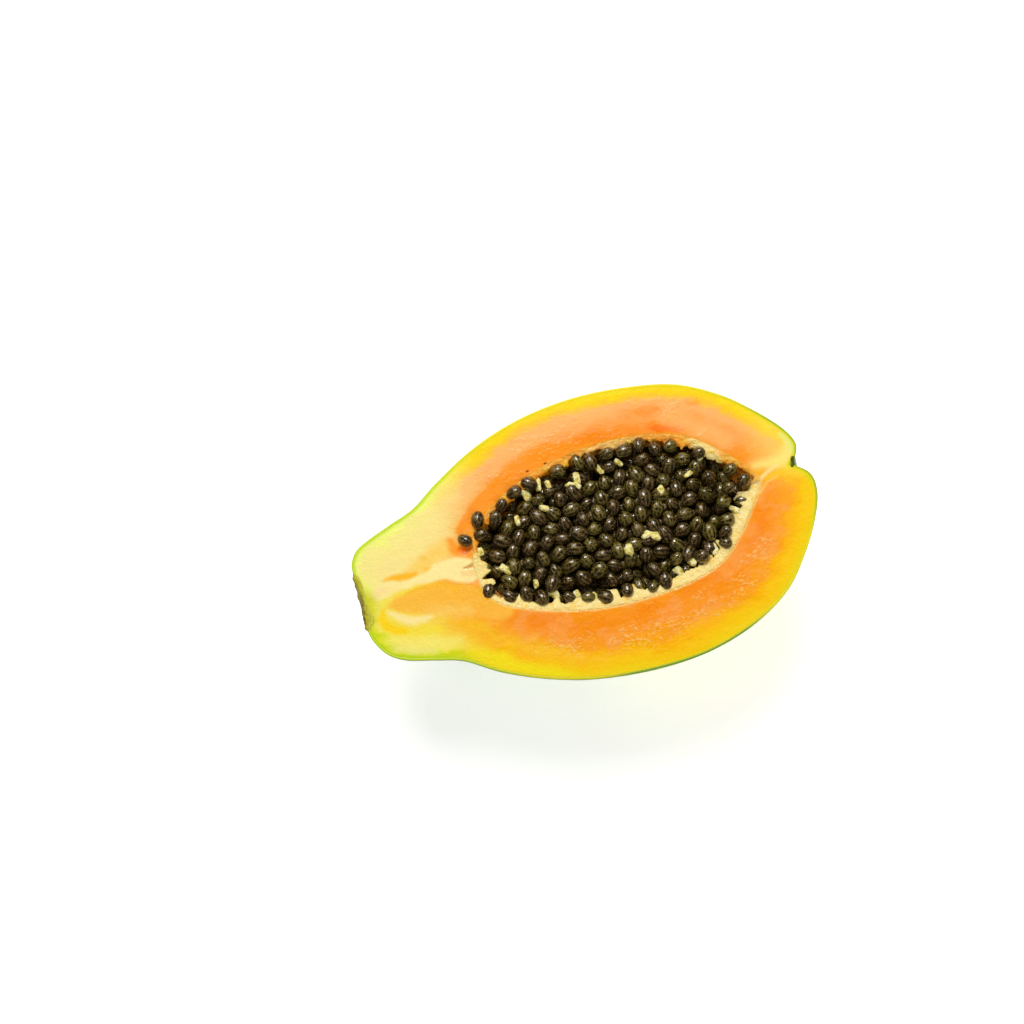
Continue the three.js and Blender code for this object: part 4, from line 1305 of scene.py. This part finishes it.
# Stalk scar: the dry corky end where the stalk broke off, a thin plug over the skin's blunt end
stalkScar = {
    "reachShare": 0.117,
    "rows": 60,
    "columns": 90,
    "depth": 2.2,
    "proud": 0.3,
    "crustHeights": (0.3, 0.22),
    "crustSizes": (2.6, 1.0),
    # a raised ring and a hollow inside it, as share of the way out, width and height
    "ring": (0.86, 0.09, 0.3),
    "hollow": (0.3, 0.2, 0.25),
    "least": 0.12,
    "raggedHeight": 0.7,
    "raggedSize": 3.4,
    "cutSteps": 8,
    "cutLift": 0.1,
    # the cork's darkest, middle and lightest colour, then the cut side's rind and heart
    "colours": [(104, 76, 20), (176, 158, 34), (208, 198, 56)],
    "rind": paint(206, 200, 48),
    "heart": paint(232, 224, 84),
}


def corkMaterial(name, colours):
    # dry cork, darker in its dents; its cut side pales inwards from the rind
    material, tree, shader, at = newMaterial(name, {"Roughness": 0.8, "Specular IOR Level": 0.25})
    patches = mottle(tree, at, 2.2, 0.35, 5.0)
    crumbs = mottle(tree, at, 0.6, 0.6, 4.0)
    crust = plus(tree, times(tree, patches, 0.75), times(tree, crumbs, 0.25))
    colour = ramp(tree, crust, [(stop, *tone) for stop, tone in zip((0.15, 0.5, 0.85), colours)])
    inner = maskOf(tree, "inner")
    colour = layer(tree, colour, stalkScar["rind"], spread(tree, inner, 0.02, 0.3, 0.0, 0.95))
    colour = layer(tree, colour, stalkScar["heart"], spread(tree, inner, 0.25, 1.0, 0.0, 0.9))
    tree.links.new(colour, shader.inputs["Base Color"])
    addBump(tree, shader, plus(tree, patches, times(tree, crumbs, 0.6)), 0.6, 0.8)
    return material


def makeStalkScar():
    # a half disc: its front is the skin's own end lifted by cork, its back is flat, and both meet at the rim
    turn = np.linspace(0, math.pi, stalkScar["columns"])[None, :]
    outward = np.linspace(0, 1, stalkScar["rows"])[:, None]
    front = skinSurface(stalkScar["reachShare"] * outward + 0 * turn, turn)
    cork = noiseOfSizes(front, stalkScar["crustHeights"], stalkScar["crustSizes"], 91) + stalkScar["proud"]
    ring, hollow = (
        height * np.exp(-(((outward - middle) / width) ** 2))
        for middle, width, height in (stalkScar["ring"], stalkScar["hollow"])
    )
    least = stalkScar["least"] + 0.3 * smoothStep(0.0, 7.0, -front[..., 2]) + 0.05 * softNoise(front, 0.6, 95)
    front[..., 0] -= np.maximum(cork + ring - hollow, least) * (1 - outward**14)
    back = front.copy()
    acrossOnly = front * np.array([0.0, 1.0, 1.0])
    ragged = stalkScar["raggedHeight"] * softNoise(acrossOnly, stalkScar["raggedSize"], 93)
    flatBack = np.maximum(front[..., 0] + 0.05, stalkScar["depth"] + ragged)
    back[..., 0] = flatBack * (1 - outward**6) + (front[..., 0] + 0.3) * outward**6
    # the cut side: straight lines from front to back along both halves of the diameter
    t = np.linspace(0, 1, stalkScar["cutSteps"])
    lift = stalkScar["cutLift"]
    cuts = []
    for column in (0, -1):
        start, end = front[:, column][:, None], back[:, column][:, None]
        side = start * (1 - t[None, :, None]) + end * t[None, :, None]
        side[..., 2] = lift + 0.05 * softNoise(side, 1.2, 94)
        cuts.append(side)
    front[..., 2] += lift * np.exp(front[..., 2] / 0.8)
    back[..., 2] += lift * np.exp(back[..., 2] / 0.8)
    for column, side in zip((0, -1), cuts):
        side[:, 0] = front[:, column]
        side[:, -1] = back[:, column]
    # four grids, each with how far inside the cork its columns lie
    parts = [(front, 0.0), (back[:, ::-1], 1.0), (cuts[0], t), (cuts[1][:, ::-1], 1 - t)]
    points, faces, inner, first = [], [], [], 0
    for part, within in parts:
        rows, columns = part.shape[:2]
        points.append(part.reshape(-1, 3))
        faces.append(gridFaces(rows, columns, False) + first)
        inner.append(np.broadcast_to(within, (rows, columns)).ravel())
        first += rows * columns
    points, faces, inner = np.concatenate(points), np.concatenate(faces), np.concatenate(inner)
    material = corkMaterial("stalkCork", stalkScar["colours"])
    masks = {"inner": inner}
    piece = makePiece("stalkScar", points, faces, material, ["stalk_scar"], masks, weld=2e-5)
    mendNormals(piece)


def mendNormals(piece):
    # faces of a piece made of several grids, turned to point outwards
    work = bmesh.new()
    work.from_mesh(piece.data)
    bmesh.ops.recalc_face_normals(work, faces=work.faces)
    work.to_mesh(piece.data)
    work.free()


# Blossom scar: a small dry star in the notch
blossomScar = {
    "at": (160.65, 1.4),
    "radius": 1.75,
    "arms": 5,
    "slant": 0.3,
    "proud": 1.0,
    "thickness": 0.4,
    "rows": 24,
    "columns": 60,
    "lift": 0.08,
    "starSwing": 0.1,
    "ridgeHeight": 0.25,
    "crustHeight": 0.14,
    "crustSize": 0.7,
    "colours": [(70, 70, 12), (108, 112, 24), (158, 160, 56)],
}


def makeBlossomScar():
    # half a star on the notch's floor: its radius swings five times a turn, its arms stand up as ridges
    turn = np.linspace(0, math.pi, blossomScar["columns"])[None, :]
    outward = np.linspace(0, 1, blossomScar["rows"])[:, None]
    arms = np.cos(2 * blossomScar["arms"] * turn)
    radius = blossomScar["radius"] * outward * (1 + blossomScar["starSwing"] * arms)
    along, across = blossomScar["at"]
    base = np.stack([
        along + blossomScar["slant"] * radius * np.cos(turn),
        across + radius * np.cos(turn),
        -radius * np.sin(turn),
    ], -1)
    crust = blossomScar["crustHeight"] * softNoise(base, blossomScar["crustSize"], 101)
    crest = blossomScar["ridgeHeight"] * arms * outward * (1 - outward**3) + crust
    front = base.copy()
    front[..., 0] += blossomScar["proud"] * (1 - 0.6 * outward**5) + crest
    back = base.copy()
    back[..., 0] -= blossomScar["thickness"] * (1 - outward**4)
    points = np.concatenate([front, back[:, ::-1]], 1)
    points[..., 2] += blossomScar["lift"]
    material = corkMaterial("blossomCork", blossomScar["colours"])
    masks = {"inner": np.zeros(points.shape[:2])}
    faces = gridFaces(points.shape[0], points.shape[1], True)
    piece = makePiece("blossomScar", points, faces, material, ["blossom_scar"], masks)
    mendNormals(piece)


makeSkin()
makeFlesh()
makeLining()
seedStrips = makeSeeds()
makeGapShade(seedStrips)
makeFlecks(seedStrips)
makeStalkScar()
makeBlossomScar()
print("pieces made")


# Floor, light and camera
studio = {
    "floorSize": 3.0,
    "floorColour": paint(250, 250, 250),
    "floorGlow": 0.52,
    "worldColour": (1.0, 1.0, 1.0, 1.0),
    "worldStrength": 0.13,
    "lens": 85,
    "azimuth": -17.785,
    "elevation": 80.0,
    "distance": 0.8566,
    "aim": (60.449, 14.513, 0.0),
    # position, where it points, size, watts
    "lights": {
        "key": ((0.04, 0.6, 0.72), (0.0, 0.0, 0.04), 0.7, 6.85),
        "fill": ((0.3, -0.62, 0.6), (0.0, 0.0, 0.04), 0.9, 3.6),
        "glint": ((0.06, 0.46, 0.66), (0.0, 0.0, 0.04), 0.1, 1.0),
    },
}


def makeFloor():
    # a square just under the fruit, which glows a little so that it stays pale
    half = studio["floorSize"] / 2
    mesh = bpy.data.meshes.new("floor")
    corners = [(x * half, y * half, -0.0003) for x, y in ((-1, -1), (1, -1), (1, 1), (-1, 1))]
    mesh.from_pydata(corners, [], [(0, 1, 2, 3)])
    floor = bpy.data.objects.new("floor", mesh)
    bpy.context.scene.collection.objects.link(floor)
    material = newMaterial("paleFloor", {
        "Base Color": studio["floorColour"], "Roughness": 0.8, "Specular IOR Level": 0.2,
        "Emission Color": (1.0, 1.0, 1.0, 1.0), "Emission Strength": studio["floorGlow"],
    })[0]
    mesh.materials.append(material)


def aimAt(thing, position, target):
    thing.location = position
    thing.rotation_euler = (Vector(target) - Vector(position)).to_track_quat("-Z", "Y").to_euler()


def makeLights():
    # round lamps that point at the fruit, and an even pale world
    for name, (position, target, size, watts) in studio["lights"].items():
        light = bpy.data.lights.new(name, "AREA")
        light.energy = watts
        light.shape = "DISK"
        light.size = size
        lamp = bpy.data.objects.new(name, light)
        bpy.context.scene.collection.objects.link(lamp)
        lamp.visible_glossy = name != "fill"
        aimAt(lamp, position, target)
    world = bpy.data.worlds.new("studio")
    world.use_nodes = True
    background = world.node_tree.nodes["Background"]
    background.inputs["Color"].default_value = studio["worldColour"]
    background.inputs["Strength"].default_value = studio["worldStrength"]
    bpy.context.scene.world = world
    bpy.context.scene.view_settings.view_transform = "Standard"


def makeCamera():
    # on a sphere about its aim, by azimuth and elevation, with the picture's upright along the sphere
    azimuth, elevation = math.radians(studio["azimuth"]), math.radians(studio["elevation"])
    right = Vector((math.cos(azimuth), math.sin(azimuth), 0))
    back = Vector((
        math.sin(azimuth) * math.cos(elevation),
        -math.cos(azimuth) * math.cos(elevation),
        math.sin(elevation),
    ))
    up = back.cross(right)
    data = bpy.data.cameras.new("camera")
    data.lens = studio["lens"]
    camera = bpy.data.objects.new("camera", data)
    bpy.context.scene.collection.objects.link(camera)
    turned = Matrix((right, up, back)).transposed().to_4x4()
    aim = Vector(toFrame(np.array(studio["aim"])).tolist())
    camera.matrix_world = Matrix.Translation(aim + back * studio["distance"]) @ turned
    bpy.context.scene.camera = camera


makeFloor()
makeLights()
makeCamera()
print("floor, lights and camera set")
